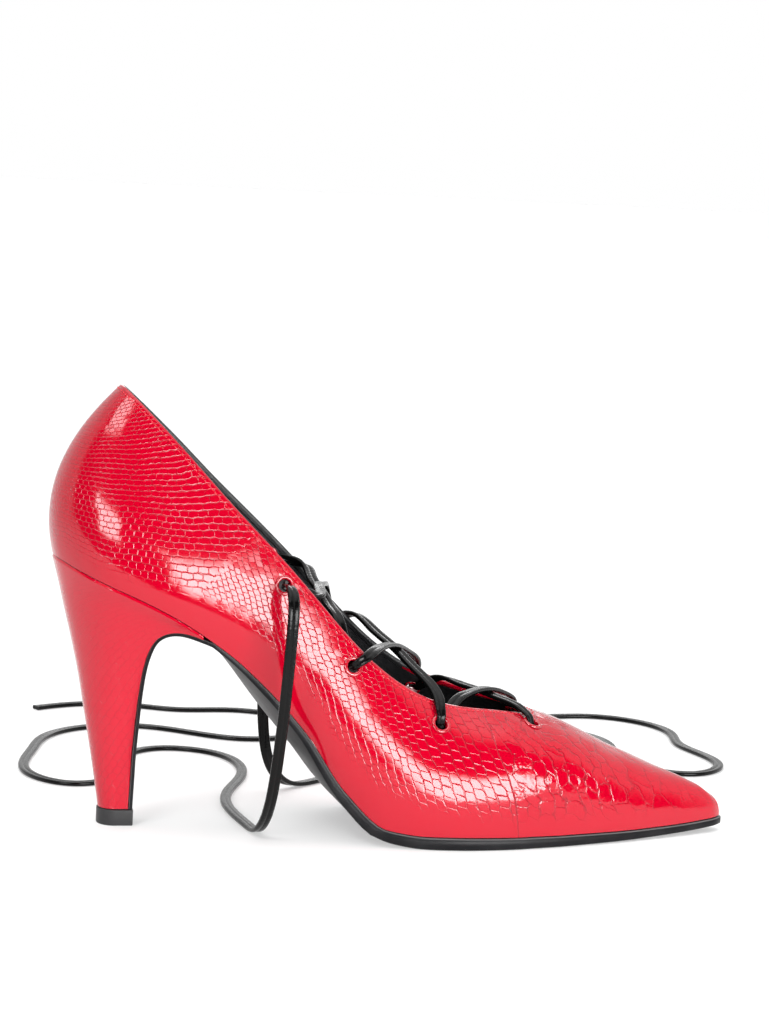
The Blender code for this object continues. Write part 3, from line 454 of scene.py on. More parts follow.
def snake_patent(name, seam=True, red=PATENT_RED):
    """Red patent leather pressed with a snake grain: rows of scales at the back, a leaning net of larger ones
    at the waist, uneven ones on the vamp. The depth attribute says how deep, and blend which of the two."""
    finish = Finish(name, red, 0.09, Specular_IOR_Level=0.5)
    depth = finish.make("Attribute", {"attribute_name": "depth"}, out=2)
    blend = finish.make("Attribute", {"attribute_name": "blend"}, out=2).ramp(0.35, 0.65)
    spot = finish.place("Object")
    way_u, way_v, _ = [way - 0.5 for way in finish.split(finish.noise(spot, WANDER, 4.0, out=1))]
    row_u, row_v, _ = finish.split(finish.make("UVMap", {"uv_map": "rows"}))
    net_u, net_v, _ = finish.split(finish.make("UVMap", {"uv_map": "net"}))
    loose = 0.9
    if seam:
        x, _, z = finish.split(spot)
        line = SEAM[-1][0]
        for (x_high, z_high), (x_low, z_low) in zip(SEAM, SEAM[1:]):
            line = finish.make("MapRange", {}, {"Value": z, "From Min": z_low, "From Max": z_high,
                                                "To Min": 0.0, "To Max": x_high - x_low}) + line
        beyond = x - line + (finish.noise(spot, SEAM_WANDER, 1.0) - 0.5) * 0.0003
        vamp = 1.0 - beyond.under(0.0)
        loose = vamp * 1.2 + 0.9
        net_u = net_u * (1.0 - vamp * VAMP_SHRINK[0]) + vamp * VAMP_SHIFT[0]
        net_v = net_v * (1.0 - vamp * VAMP_SHRINK[1]) + vamp * VAMP_SHIFT[1]
    rows_edge, rows_tilt = scales(finish, row_u + way_u * 1.1, row_v + way_v * 0.55, *ROW_SCALE)
    net_edge, net_tilt = scales(finish, net_u + way_u * loose * 0.7, net_v + way_v * loose * 1.1, *NET_SCALE)
    edge = rows_edge * (1.0 - blend) + net_edge * blend + (finish.noise(spot, BREAKS) - 0.5) * 0.17
    net = edge.ramp(0.0, GROOVE)
    tilt = rows_tilt * (1.0 - blend) + net_tilt * blend
    if seam:
        tilt = tilt * (vamp * 6.0 + 1.0)
    fine = finish.noise(spot, PORES) * 0.035 * (depth + 0.25)
    height = (net + tilt * 0.8) * depth + fine + finish.noise(spot, SWELL) * (depth * 0.28 + 0.08)
    # Painted shade: the colour is darkened in the grooves between the scales, as deep as the grain is pressed
    dark = (1.0 - net) * depth
    if seam:
        height = height - (1.0 - abs(beyond).ramp(0.0, SEAM_GROOVE)) * 1.6
        # Painted shade along the vamp seam: a thin darker line in the colour
        dark = dark.most(1.0 - abs(beyond).ramp(0.00006, 0.0003))
    color = finish.mix(dark * 0.45, red, GROOVE_SHADE_RED)
    return finish.set(Base_Color=color, Roughness=0.085 + dark * 0.12,
                      Normal=finish.bump(height, PATENT_BUMP))


OUTER_SKIN = 0.0008        # red leather; the lining takes the rest of the wall
RIM_RADIUS = WALL / 2
FOLD = 0.0010              # how far the folded edge reaches down inside
RIM_EASE = 0.0040
COLUMNS_PER_STATION = 8
RIB_ROWS = 46


def grain_layers(shape):
    """The layers that the patent leather's finish reads."""
    shape.loops.layers.uv.new("rows")
    shape.loops.layers.uv.new("net")
    shape.verts.layers.float.new("depth")
    shape.verts.layers.float.new("blend")


def outer_shell():
    """The leather's outer face: mesh, rows of vertices, each one's side, station and row, and the topline."""
    shape = bmesh.new()
    grain_layers(shape)
    order = [(-1, s) for s in walk] + [(1, s) for s in walk[-2:0:-1]]
    ribs = [rib(side, s, shares) for side, s in order]
    grid, facts, ridge = [], {}, {}
    for row in range(len(shares)):
        line = []
        for (side, station), points in zip(order, ribs):
            if row == len(shares) - 1 and station >= THROAT_ROW and station in ridge:
                line.append(ridge[station])
                continue
            vert = shape.verts.new(points[row])
            facts[vert] = (side, station, row)
            line.append(vert)
            if row == len(shares) - 1 and station >= THROAT_ROW:
                ridge[station] = vert
        grid.append(line)
    for lower, higher in zip(grid, grid[1:]):
        bridge(shape, lower, higher)
    bmesh.ops.recalc_face_normals(shape, faces=shape.faces)
    shape.normal_update()
    probe = min(shape.verts, key=lambda v: v.co.y)
    if probe.normal.y > 0:
        bmesh.ops.reverse_faces(shape, faces=shape.faces)
        shape.normal_update()
    count = len(grid[-1])
    throat = list(walk).index(float(THROAT_ROW))
    loop = [grid[-1][i % count] for i in range(count - throat, count + throat)]
    return shape, grid, facts, loop


def edge_ways(loop, normals):
    """At each vertex of the topline, the direction in the leather's face that points off its edge."""
    ways = []
    count = len(loop)
    for i, vert in enumerate(loop):
        run = (loop[(i + 1) % count].co - loop[i - 1].co).normalized()
        way = normals[vert].cross(run).normalized()
        ways.append(way if way.z > 0 else -way)
    return ways


walk = np.linspace(0, TIP_ROW, TIP_ROW * COLUMNS_PER_STATION + 1)
shares = np.linspace(0, 1, RIB_ROWS)
shape, grid, facts, loop = outer_shell()
# A little smoothing where the throat turns into the ridge
THROAT_STATIONS = (14.3, 18.5)
THROAT_PASSES = 14
soft = [v for v, (side, s, row) in facts.items()
        if THROAT_STATIONS[0] < s < THROAT_STATIONS[1] and row > RIB_ROWS * 0.45]
held = set(loop)
for _ in range(THROAT_PASSES):
    moved = {}
    for vert in soft:
        if vert in held:
            continue
        around = [e.other_vert(vert).co for e in vert.link_edges]
        moved[vert] = vert.co.lerp(sum(around, Vector()) / len(around), 0.5)
    for vert, spot in moved.items():
        vert.co = spot
shape.normal_update()
normals = {v: v.normal.copy() for v in shape.verts}
ways = edge_ways(loop, normals)
tree = KDTree(len(loop))
for i, vert in enumerate(loop):
    tree.insert(vert.co, i)
tree.balance()
topline = [(v.co.copy(), way) for v, way in zip(loop, ways)]
rim_pull = {}
for vert in shape.verts:
    _, i, away = tree.find(vert.co)
    rim_pull[vert] = ways[i] * max(1.0 - away / RIM_EASE, 0.0)
for vert, pull in rim_pull.items():
    vert.co -= pull * pull.length * RIM_RADIUS
leather_tree = BVHTree.FromBMesh(shape)
skin_spots = [v.co.copy() for v in shape.verts]
skin_pulls = list(rim_pull.values())

# Where each point of the leather lies in the rows of scales and in the leaning net, along and up the skin
ROW_SIZE = ((0.0, 0.0020), (0.016, 0.0021), (0.060, 0.0034), (0.200, 0.0040))
NET_SIZE = ((0.0, 0.0020), (0.060, 0.0021), (0.120, 0.0026), (0.150, 0.0039), (0.220, 0.0048))
# How high the smooth band above the sole is, along the shoe
SMOOTH_BAND = ((0.000, 0.0055), (0.020, 0.0110), (0.040, 0.0150), (0.080, 0.0150), (0.105, 0.0105),
               (0.130, 0.0060))
# How deep the grain is pressed at the toe and at the back, along the shoe
TOE_FADE = ((0.160, 1.0), (0.205, 0.30))
BACK_FADE = ((-0.020, 0.72), (0.030, 1.0))
LEAN = radians(72)
FALL = radians(12)

middle_row = RIB_ROWS // 2
row_map, net_map, depth_map, blend_map = {}, {}, {}, {}
for side in (-1, 1):
    line = [rib(side, s, shares) for s in walk]
    mid = np.array([points[middle_row] for points in line])
    run = travelled(mid[:, :2])
    sizes = row_size, net_size = read(ROW_SIZE, run), read(NET_SIZE, run)
    stride, climb = np.diff(run), np.diff(mid[:, 2])
    row_along, net_along = (running(2 * stride / (size[1:] + size[:-1])) for size in sizes)
    row_up, net_up = (mid[0, 2] / size[0] + running(2 * climb / (size[1:] + size[:-1])) for size in sizes)
    for k, station in enumerate(walk):
        points = line[k]
        arc = travelled(points)
        ahead = line[min(k + 1, len(walk) - 1)][middle_row] - line[max(k - 1, 0)][middle_row]
        level = np.array((ahead[0], ahead[1], 0.0))
        level /= np.linalg.norm(level) + 1e-9
        for row in range(RIB_ROWS):
            off = float(np.dot(points[row] - mid[k], level))
            rise = arc[row] - arc[middle_row]
            row_map[side, station, row] = ((row_along[k] + off / row_size[k]) * side,
                                           (row_up[k] + rise / row_size[k]) / 1.5)
            across, up = net_along[k] + off / net_size[k], net_up[k] + rise / net_size[k]
            wide = sin(LEAN) * cos(FALL) - cos(LEAN) * sin(FALL)
            lean = (sin(LEAN) * across + cos(LEAN) * up) / wide
            fall = (cos(FALL) * up + sin(FALL) * across) / wide
            net_map[side, station, row] = (lean / 2.0 * side, fall)
            bare = read(SMOOTH_BAND, points[row][0])
            low = np.interp(arc[row] + 0.0012 * sin(across * 2.2), (bare - 0.0015, bare + 0.0035), (0.0, 1.0))
            toe, back = read(TOE_FADE, points[row][0]), read(BACK_FADE, points[row][0])
            depth_map[side, station, row] = low * toe * back
            blend_map[side, station, row] = np.interp(points[row][0] + (0.085 - points[row][2]) * 0.9,
                                                      (0.012, 0.036), (0.0, 1.0))

row_layer, net_layer = shape.loops.layers.uv["rows"], shape.loops.layers.uv["net"]
depth_layer, blend_layer = shape.verts.layers.float["depth"], shape.verts.layers.float["blend"]
inner = {v: shape.verts.new(v.co - normals[v] * OUTER_SKIN - rim_pull[v] * (FOLD + 0.0001))
         for v in list(shape.verts)}
for vert in grid[0]:
    inner[vert].co.z = max(inner[vert].co.z, vert.co.z)
for vert, fact in facts.items():
    vert[depth_layer] = depth_map[fact]
    vert[blend_layer] = blend_map[fact]
    inner[vert][depth_layer] = 0.0
outside = list(shape.faces)
for face in outside:
    side = -1 if sum(facts[v][0] for v in face.verts) <= 0 else 1
    for corner in face.loops:
        _, station, row = facts[corner.vert]
        corner[row_layer].uv = row_map[side, station, row]
        corner[net_layer].uv = net_map[side, station, row]
for face in outside:
    shape.faces.new([inner[v] for v in reversed(face.verts)])
bridge(shape, grid[0], [inner[v] for v in grid[0]])
BINDING_FRONT = 0.0505     # above this the lining is turned over the edge as a black binding
BINDING_FIRST = 2
rim = [loop]
for angle in (25, 55, 90, 125, 155, 180):
    turn = radians(angle)
    rim.append([shape.verts.new(v.co + (normals[v] * (cos(turn) - 1.0) + way * sin(turn)) * RIM_RADIUS)
                for v, way in zip(loop, ways)])
rim.append([shape.verts.new(v.co - normals[v] * WALL - way * FOLD) for v, way in zip(loop, ways)])
rim.append([inner[v] for v in loop])
for place, (first, second) in enumerate(zip(rim, rim[1:])):
    for face in bridge(shape, first, second):
        behind_throat = min(v.co.z for v in face.verts) > BINDING_FRONT
        face.material_index = int(place >= BINDING_FIRST and behind_throat)
for row in rim[1:-1]:
    for vert in row:
        vert[depth_layer] = 0.12

# The eyelets' places on the leather: station on the last and way down from the topline, top pair first
EYELETS = ((6.95, 0.0080), (9.02, 0.0084), (11.42, 0.0096), (14.60, 0.0092))
EYELET_BORE = 0.00215
EYELET_TUBE = 0.00045
EYELET_FLANGE = 0.0035
HOLE_RADIUS = EYELET_BORE + EYELET_TUBE + 0.0001
HOLE_DEPTH = 0.010
PROBE_ABOVE, PROBE_REACH = 0.004, 0.008
FINE = np.linspace(1, 0, 200)


def down_leather(side, station, below):
    points = rib(side, station, FINE)
    return Vector(at_places(below, travelled(points), points))


def eyelet_place(side, station, below):
    """Middle, outward direction and direction towards the topline of an eyelet."""
    spot = down_leather(side, station, below)
    above, beneath = (down_leather(side, station, below + k * EYELET_FLANGE) for k in (-1, 1))
    way = above - beneath
    stride = EYELET_FLANGE / (down_leather(side, station + 0.5, below) - spot).length * 0.5
    ahead, behind = (down_leather(side, station + k * stride, below) for k in (1, -1))
    out = (ahead - behind).cross(way).normalized()
    if out.y * side < 0:
        out = -out
    spot = spot.lerp((ahead + behind) / 2, 0.5)
    hit = leather_tree.ray_cast(spot + out * PROBE_ABOVE, -out, PROBE_REACH)[0]
    if hit is not None:
        spot = hit
    return spot, out, (way - out * way.dot(out)).normalized()


places = {(side, i): eyelet_place(side, *EYELETS[i]) for i in range(4) for side in (-1, 1)}


def facing(out):
    return out.to_track_quat("Z", "Y").to_matrix().to_4x4()


def punch(piece):
    """Punches the eight eyelet holes."""
    holes = bmesh.new()
    for spot, out, _ in places.values():
        bmesh.ops.create_cone(holes, cap_ends=True, segments=32, radius1=HOLE_RADIUS, radius2=HOLE_RADIUS,
                              depth=HOLE_DEPTH, matrix=Matrix.Translation(spot) @ facing(out))
    mesh = bpy.data.meshes.new("punch")
    holes.to_mesh(mesh)
    holes.free()
    tool = bpy.data.objects.new("punch", mesh)
    bpy.context.scene.collection.objects.link(tool)
    cut = piece.modifiers.new("holes", "BOOLEAN")
    cut.operation = "DIFFERENCE"
    cut.solver = "MANIFOLD"
    cut.object = tool
    bpy.context.view_layer.update()
    bpy.context.view_layer.objects.active = piece
    bpy.ops.object.modifier_apply(modifier=cut.name)
    bpy.data.objects.remove(tool, do_unlink=True)


LEATHER_PORES = 900.0
LEATHER_BUMP = 0.00006


def black_leather(name, color, roughness):
    finish = Finish(name, color, roughness)
    spot = finish.place("Object")
    pores = finish.make("TexVoronoi", {"feature": "DISTANCE_TO_EDGE"},
                        {"Vector": spot, "Scale": LEATHER_PORES, "Randomness": 1.0})
    creases = finish.noise(spot, LEATHER_PORES / 4, 4.0)
    height = pores.ramp(0.0, 0.25) * 0.7 + creases * 0.6
    tone = finish.mix(creases.ramp(0.35, 0.75), color, tuple(c * 1.9 for c in color))
    return finish.set(Base_Color=tone, Normal=finish.bump(height, LEATHER_BUMP),
                      Roughness=roughness + creases * 0.12)


lining_black = black_leather("lining_black", (0.010, 0.010, 0.011), 0.42)
red_patent = snake_patent("red_patent")
upper = into_scene("upper_leather", shape, red_patent, ["upper"])
upper.data.materials.append(lining_black)
punch(upper)

# The lining: thin black leather inside the whole upper. It is cut like the upper and glued to its back, and
# reaches up to the folded edge, where the stitching holds it.

LINING_TOP = 0.0013
LINING_FACES = (OUTER_SKIN + 0.00004, WALL + 0.00002)      # how deep its two faces lie in the wall

shape, grid, facts, loop = outer_shell()
for vert, spot in zip(shape.verts, skin_spots):
    vert.co = spot
shape.normal_update()
faces = list(shape.faces)
front, behind = ([v.co - v.normal * deep - pull * LINING_TOP for v, pull in zip(shape.verts, skin_pulls)]
                 for deep in LINING_FACES)
back = {v: shape.verts.new(spot) for v, spot in zip(list(shape.verts), behind)}
for vert, spot in zip(back, front):
    vert.co = spot
for vert in grid[0]:
    back[vert].co.z = max(back[vert].co.z, vert.co.z)
for face in faces:
    shape.faces.new([back[v] for v in reversed(face.verts)])
bridge(shape, grid[0], [back[v] for v in grid[0]])
bridge(shape, loop, [back[v] for v in loop])
lining = into_scene("upper_lining", shape, lining_black)
punch(lining)

# The stitching along the topline: one row of red thread, sewn by machine through leather and lining just
# below the folded edge. Each stitch is drawn into the leather at both its ends.

STITCH = 0.0013
STITCH_PITCH = 0.0017
STITCH_BELOW = 0.0011
STITCH_RADIUS = 0.00019
STITCH_LEAST = 0.0004
STITCH_SIDES = 7
STITCH_RINGS = 5


def fill(shape, rings):
    """Closes a body round rings of vertices."""
    for first, second in zip(rings, rings[1:]):
        bridge(shape, first, second)
    shape.faces.new(rings[0])
    shape.faces.new(rings[-1])


def bead(shape, start, end, out):
    """A stitch: a little rod, pulled into the leather at both ends."""
    run = end - start
    flat = (out - run * out.dot(run) / run.length_squared).normalized()
    wide = run.normalized().cross(flat)
    arms = [flat * cos(2 * pi * k / STITCH_SIDES) + wide * sin(2 * pi * k / STITCH_SIDES)
            for k in range(STITCH_SIDES)]
    rings = []
    for t in np.linspace(0.0, 1.0, STITCH_RINGS):
        swell = 0.45 + 0.55 * sin(pi * t)
        middle = start + run * float(t) + flat * STITCH_RADIUS * (sin(pi * t) * 1.1 - 0.55)
        rings.append([shape.verts.new(middle + arm * STITCH_RADIUS * swell) for arm in arms])
    fill(shape, rings)


shape = bmesh.new()
trail = [spot - way * (RIM_RADIUS + STITCH_BELOW) for spot, way in topline]
trail.append(trail[0])
gone = travelled(trail)
starts = np.arange(0.001, gone[-1] - STITCH, STITCH_PITCH)
for a, b in zip(at_places(starts, gone, trail), at_places(starts + STITCH, gone, trail)):
    first, out, _, _ = leather_tree.find_nearest(Vector(a))
    second = leather_tree.find_nearest(Vector(b))[0]
    if out.dot(first - Vector((first.x, 0.002, first.z - 0.03))) < 0:
        out = -out
    if (second - first).length > STITCH_LEAST:
        bead(shape, first, second, out)
finish = Finish("red_thread", (0.62, 0.020, 0.035), 0.55)
twist = finish.noise(finish.place("Object"), 4200.0, 1.0)
red_thread = finish.set(Normal=finish.bump(twist, 0.00008))
into_scene("topline_stitches", shape, red_thread)

# The insole: a thin sock of black lining leather. It is glued over the insole board that the upper is lasted
# to, and ends a little inside the wall.

INSOLE_THICKNESS = 0.0016
INSOLE_LIFT = 0.0002
INSOLE_INSET = WALL + GAP + 0.0003
INSOLE_END = 0.0030
SOCK_STATIONS = 110
SOCK_STRIDE = 0.0005
# Its upper face from the inner to the outer side: share of the width and of the thickness
SOCK_FACE = ((1.0, 0.7), (0.985, 0.95), (0.95, 1.0), (0.75, 0.93), (0.5, 0.9), (0.25, 0.93), (0.05, 1.0),
             (0.015, 0.95), (0.0, 0.7))

foot_walk = np.linspace(0, TIP_ROW, 320)
foot_xs = [BACK_X + SHOE_LENGTH * last_at("foot_along", s) for s in foot_walk]
foot_zs = [foot_height(s) for s in foot_walk]


def edge_point(side, station, outwards, above):
    """A point of the bottom outline moved outwards in plan, at the bottom's height plus above."""
    point = foot_point(side, station) + plan_normal(side, station) * outwards
    point.z = float(np.interp(point.x, foot_xs, foot_zs)) + above
    return point


shape = bmesh.new()
rings = []
ends = -1.0
for station in np.linspace(0.2, TIP_ROW - 0.6, SOCK_STATIONS):
    ahead, behind = (foot_point(-1, min(max(station + k, 0.0), TIP_ROW)) for k in (0.08, -0.08))
    fall = Vector((ahead.x - behind.x, 0.0, ahead.z - behind.z)).normalized()
    lift = Vector((-fall.z, 0.0, fall.x)) * INSOLE_THICKNESS
    outer, inner_end = (edge_point(side, station, -INSOLE_INSET, INSOLE_LIFT) for side in (-1, 1))
    if min(outer.x, inner_end.x) - ends < SOCK_STRIDE or inner_end.y - outer.y < INSOLE_END:
        continue
    ends = max(outer.x, inner_end.x)
    line = [outer, inner_end] + [outer.lerp(inner_end, t) + lift * k for t, k in SOCK_FACE]
    rings.append([shape.verts.new(p) for p in line])
fill(shape, rings)
sock_black = black_leather("sock_black", (0.011, 0.011, 0.012), 0.45)
into_scene("insole_sock", shape, sock_black, ["insole"])

# The outsole: one strip of black sole leather under forepart and waist, thinned to a flap that is glued
# down the heel breast; its edges are trimmed, inked and polished, with a painted highlight along the top.

FLAP_THICKNESS = 0.0013
SOLE_EDGE = 0.0008
SHANK_BELLY = 0.0046
SOLE_FLAT = 0.47           # from here on the sole lies flat
SOLE_SPREAD = ((0.25, -0.3), (0.45, 0.4), (0.6, 1.0))
SOLE_BOTTOM = (0.16, 0.28, 0.42, 0.58, 0.72, 0.84)
FLAP_STEPS, SOLE_STEPS, TOE_STEPS = 72, 120, 22
JOIN_HALF = 0.339          # half the flap's width where it joins the sole, as a share of the ball's width
TIP_LENGTH = 0.0101
TIP_WIDTH = 0.0124
TIP_FRONT = TIP_LENGTH / 2 - 0.0005
RIM_BAND = 0.0009
LIFT_HEIGHT = 0.0056
LIFT_MARGIN = 0.0003
# The heel breast from the tip up: forward, up, and half width
BREAST = ((0.000, 0.087, 0.079), (0.010, 0.220, 0.084), (0.020, 0.370, 0.093), (0.038, 0.500, 0.108),
          (0.055, 0.620, 0.128), (0.076, 0.740, 0.160), (0.106, 0.845, 0.200), (0.160, 0.935, 0.240),
          (0.250, 1.002, 0.270), (0.390, 1.036, 0.293), (0.540, 1.044, 0.309), (0.690, 1.036, 0.322),
          (0.840, 1.019, 0.333))


def along_station(along):
    """The station at the waist whose foot point lies at that share of the length."""
    walk = np.linspace(3.0, 8.0, 400)
    return float(np.interp(along, [last_at("foot_along", s) for s in walk], walk))


join = along_station(FLAP_JOIN)


def breast_path():
    """The flap's heel side, tip first: level place, height, half width."""
    end = foot_point(-1, join)
    start = TIP_FRONT + GAP
    path = [(start + (end.x - start) * reach, (end.z - GAP) * rise, BALL_WIDTH * half)
            for reach, rise, half in BREAST]
    path[0] = (path[0][0], LIFT_HEIGHT + GAP, path[0][2])
    return path


def dense(path, count):
    """A smooth run through rows of numbers, evenly spaced by their first two."""
    path = np.array(path, float)
    knots = travelled(path[:, :2])
    at = np.linspace(0.0, knots[-1], count)
    return np.stack([Curve(knots, path[:, k])(at) for k in range(path.shape[1])], axis=1)


def path_normals(path):
    normals = []
    for i in range(len(path)):
        a, b = path[max(i - 1, 0)], path[min(i + 1, len(path) - 1)]
        run = Vector((b[0] - a[0], 0.0, b[1] - a[1])).normalized()
        normals.append(Vector((-run.z, 0.0, run.x)))
    return normals


sections = []
joined = breast_path() + [(foot_point(-1, join).x, foot_height(join) - GAP, BALL_WIDTH * JOIN_HALF)]
for x, z, half in dense(joined, FLAP_STEPS)[:-2]:
    sections.append((x, z, Vector((x, -half, z)), Vector((x, half, z)), FLAP_THICKNESS, 0.0, False))
sole_walk = np.concatenate((np.linspace(join, TIP_ROW - 1.0, SOLE_STEPS),
                            np.linspace(TIP_ROW - 0.93, TIP_ROW - 0.04, TOE_STEPS)))
for station in sole_walk:
    along = last_at("foot_along", station)
    spread = SOLE_EDGE * float(read(SOLE_SPREAD, along))
    belly = SHANK_BELLY * max(float(sole_belly(along)), 0.0)
    outer, inner_end = (edge_point(side, station, spread, -GAP) for side in (-1, 1))
    sections.append((foot_point(-1, station).x, foot_height(station) - GAP, outer, inner_end,
                     sole_at(along), belly, along >= SOLE_FLAT))
shape = bmesh.new()
uv_layer = shape.loops.layers.uv.new("edge")
rings, marks = [], []
falls = path_normals([s[:2] for s in sections])
for (x, z, outer, inner_end, thick, belly, flat), normal in zip(sections, falls):
    if flat:
        normal = Vector((0.0, 0.0, 1.0))
    across = (inner_end - outer).normalized()
    chamfer = min(0.00035, thick * 0.2)
    round_off = 0.3 * thick
    # The edge's section: inwards, down, and the mark that the finish reads
    half_ring = [(chamfer * 2.2, 0.0, 0.00), (chamfer * 1.1, 0.0, 0.12), (0.0, chamfer, 0.16),
                 (0.0, thick * 0.5, 0.3), (round_off * 0.04, thick * 0.74, 0.4),
                 (round_off * 0.3, thick * 0.91, 0.5), (round_off, thick, 0.6)]
    width = (inner_end - outer).length
    points = [(outer + across * a - normal * d, m) for a, d, m in half_ring]
    for t in SOLE_BOTTOM:
        deep = thick + belly * (1.0 - (2 * t - 1.0) ** 2)
        points.append((outer + across * (round_off + (width - 2 * round_off) * t) - normal * deep, 1.0))
    points += [(inner_end - across * a - normal * d, m) for a, d, m in half_ring[::-1]]
    for point, _ in points:
        point.z = max(point.z, 0.0)
    rings.append([shape.verts.new(p) for p, _ in points])
    marks.append([m for _, m in points])
size = len(rings[0])
for i, (first, second) in enumerate(zip(rings, rings[1:])):
    for j, face in enumerate(bridge(shape, first, second)):
        k = (j + 1) % size
        ahead = (marks[i][k], marks[i + 1][k]) if k else (0.0, 0.0)
        for corner, mark in zip(face.loops, (marks[i][j], *ahead, marks[i + 1][j])):
            corner[uv_layer].uv = (i / len(rings), mark)
shape.faces.new(rings[0])
shape.faces.new(rings[-1])
finish = Finish("sole_black", (0.005, 0.005, 0.006), 0.34, Specular_IOR_Level=0.13)
spot = finish.place("Object")
_, mark, _ = finish.split(finish.place("UV"))
# Painted highlight: a light grey line painted along the chamfer at the top of the sole's edge
line = mark.ramp(0.03, 0.07) * (1.0 - mark.ramp(0.145, 0.175))
fibre = finish.noise(spot, 1600.0, 3.0)
worn = finish.noise(spot, 90.0, 4.0)
ground = finish.mix(worn.ramp(0.35, 0.8), (0.006, 0.006, 0.007), (0.014, 0.014, 0.015))
color = finish.mix(line * 0.45, ground, (0.20, 0.19, 0.19))
sole_black = finish.set(Base_Color=color, Roughness=0.28 + worn * 0.16,
                        Normal=finish.bump(fibre * 0.5 + worn * 0.5, 0.00005))
into_scene("outsole_leather", shape, sole_black, ["outsole"], smooth=50)

# The heel: a moulded block covered with the same patent leather, wrapped round from the breast; its cover
# is pulled over the seat, so that only a fine dark line parts it from the upper.

# The heel's back from the seat down: how far each point goes in plan, and how far down
HEEL_BACK = ((0.00, 0.00), (0.07, 0.055), (0.14, 0.11), (0.22, 0.18), (0.31, 0.255), (0.40, 0.33),
             (0.49, 0.41), (0.57, 0.49), (0.645, 0.575), (0.72, 0.66), (0.80, 0.75), (0.90, 0.87),
             (1.00, 1.00))
TIP_ROUND = 0.6            # share of the tip's outline that goes round its back
HEEL_COLUMNS = 44
HEEL_ROWS = 84
HEEL_INSET = 0.0003
HEEL_SCALE = (0.0060, 0.0031)
# A lighter copy of the upper's red, for the same leather: painted light on the heel cover
HEEL_LIT_RED = (0.415, 0.0002, 0.0132)
# How deep the grain is pressed, above the floor
HEEL_DEPTH = ((0.008, 0.35), (0.02, 0.60), (0.05, 0.42), (0.08, 0.25))


def tip_outline(share, grow=0.0, front=0.0):
    """Half of the heel tip's outline, from its back round to its front corner."""
    turn = min(share / TIP_ROUND, 1.0) * pi / 2
    x = TIP_FRONT - TIP_LENGTH - grow + (0.55 * TIP_LENGTH + grow) * (1 - cos(turn))
    y = (TIP_WIDTH / 2 + grow) * sin(turn) ** 0.9
    if share > TIP_ROUND:
        ahead = (share - TIP_ROUND) / (1.0 - TIP_ROUND)
        x += (TIP_FRONT + front - x) * ahead
        y *= 1.0 - 0.06 * ahead
    return x, y


path = breast_path()
breast = [(x + n.x * GAP, z + n.z * GAP, half) for (x, z, half), n in zip(path, path_normals(path))][::-1]
breast[-1] = (TIP_FRONT, LIFT_HEIGHT + GAP, breast[-1][2])
front_rim, front_tip = breast[0], breast[-1]
top_half = BALL_WIDTH * BREAST[-1][2]
front_station = along_station((front_rim[0] - BACK_X) / SHOE_LENGTH)
level = np.arange(len(breast))
fine_level = np.concatenate(([0.0, 0.05], np.linspace(0.12, len(breast) - 1, HEEL_ROWS)))
shape = bmesh.new()
grain_layers(shape)
row_layer, net_layer = shape.loops.layers.uv["rows"], shape.loops.layers.uv["net"]
depth_layer, blend_layer = shape.verts.layers.float["depth"], shape.verts.layers.float["blend"]
rows = [[] for _ in range(len(fine_level) + 1)]
map_of = {}
for side in (-1, 1):
    order = range(HEEL_COLUMNS, -1, -1) if side < 0 else range(1, HEEL_COLUMNS + 1)
    for k in order:
        q = k / HEEL_COLUMNS
        seat = foot_point(side, front_station * q)
        seat.z -= GAP
        rim_spot = seat - Vector((0, 0, RIM_BAND))
        tip_x, tip_y = tip_outline(q)
        weight = q ** 3
        points = []
        for r, (bx, bz, half) in enumerate(breast):
            plan, fall = HEEL_BACK[r]
            share_x = (front_rim[0] - bx) / (front_rim[0] - front_tip[0])
            share_z = (front_rim[1] - bz) / (front_rim[1] - front_tip[1])
            share_y = (top_half - half) / (top_half - front_tip[2])
            plan_y = plan ** 0.85 * (1 - weight) + share_y * weight
            down = fall * (1 - weight) + share_z * weight
            plan_x = plan * (1 - weight) + share_x * weight
            point = (rim_spot.x + (tip_x - rim_spot.x) * plan_x,
                     rim_spot.y + (side * tip_y - rim_spot.y) * plan_y,
                     rim_spot.z + (LIFT_HEIGHT + GAP - rim_spot.z) * down)
            points.append((bx, point[1], bz) if k == HEEL_COLUMNS else point)
        points = np.array(points)
        run = np.stack([Curve(level, points[:, i])(fine_level) for i in range(3)], axis=1)
        middle = Vector((seat.x + 0.012 * (1 - q), 0.0, seat.z))
        rows[0].append(shape.verts.new(seat.lerp(middle, HEEL_INSET / (middle - seat).length)))
        for row, point in zip(rows[1:], run):
            row.append(shape.verts.new(point))
for row in rows:
    gone = 0.0
    for i, vert in enumerate(row):
        if i:
            gone += (vert.co - row[i - 1].co).length
        map_of[vert] = ((gone + vert.co.z * 0.5) / HEEL_SCALE[0], (vert.co.z - gone * 0.6) / HEEL_SCALE[1])
        vert[blend_layer] = 1.0
        vert[depth_layer] = read(HEEL_DEPTH, vert.co.z)
for first, second in zip(rows, rows[1:]):
    bridge(shape, first, second)
for row in (rows[0], rows[-1]):
    outer = row[:HEEL_COLUMNS + 1][::-1]
    inner_side = [outer[0]] + row[HEEL_COLUMNS + 1:]
    bridge(shape, outer, inner_side, closed=False)
for face in shape.faces:
    for corner in face.loops:
        corner[net_layer].uv = corner[row_layer].uv = map_of[corner.vert]
heel_patent = snake_patent("heel_patent", seam=False, red=HEEL_LIT_RED)
into_scene("heel_cover", shape, heel_patent, ["heel"], smooth=40)

# The top-lift: a moulded piece of black rubber, nailed and glued under the heel tip. It covers the end of the
# sole's flap too, and the shoe stands on it.

LIFT_BEVEL = 0.0004
LIFT_COLUMNS = 28

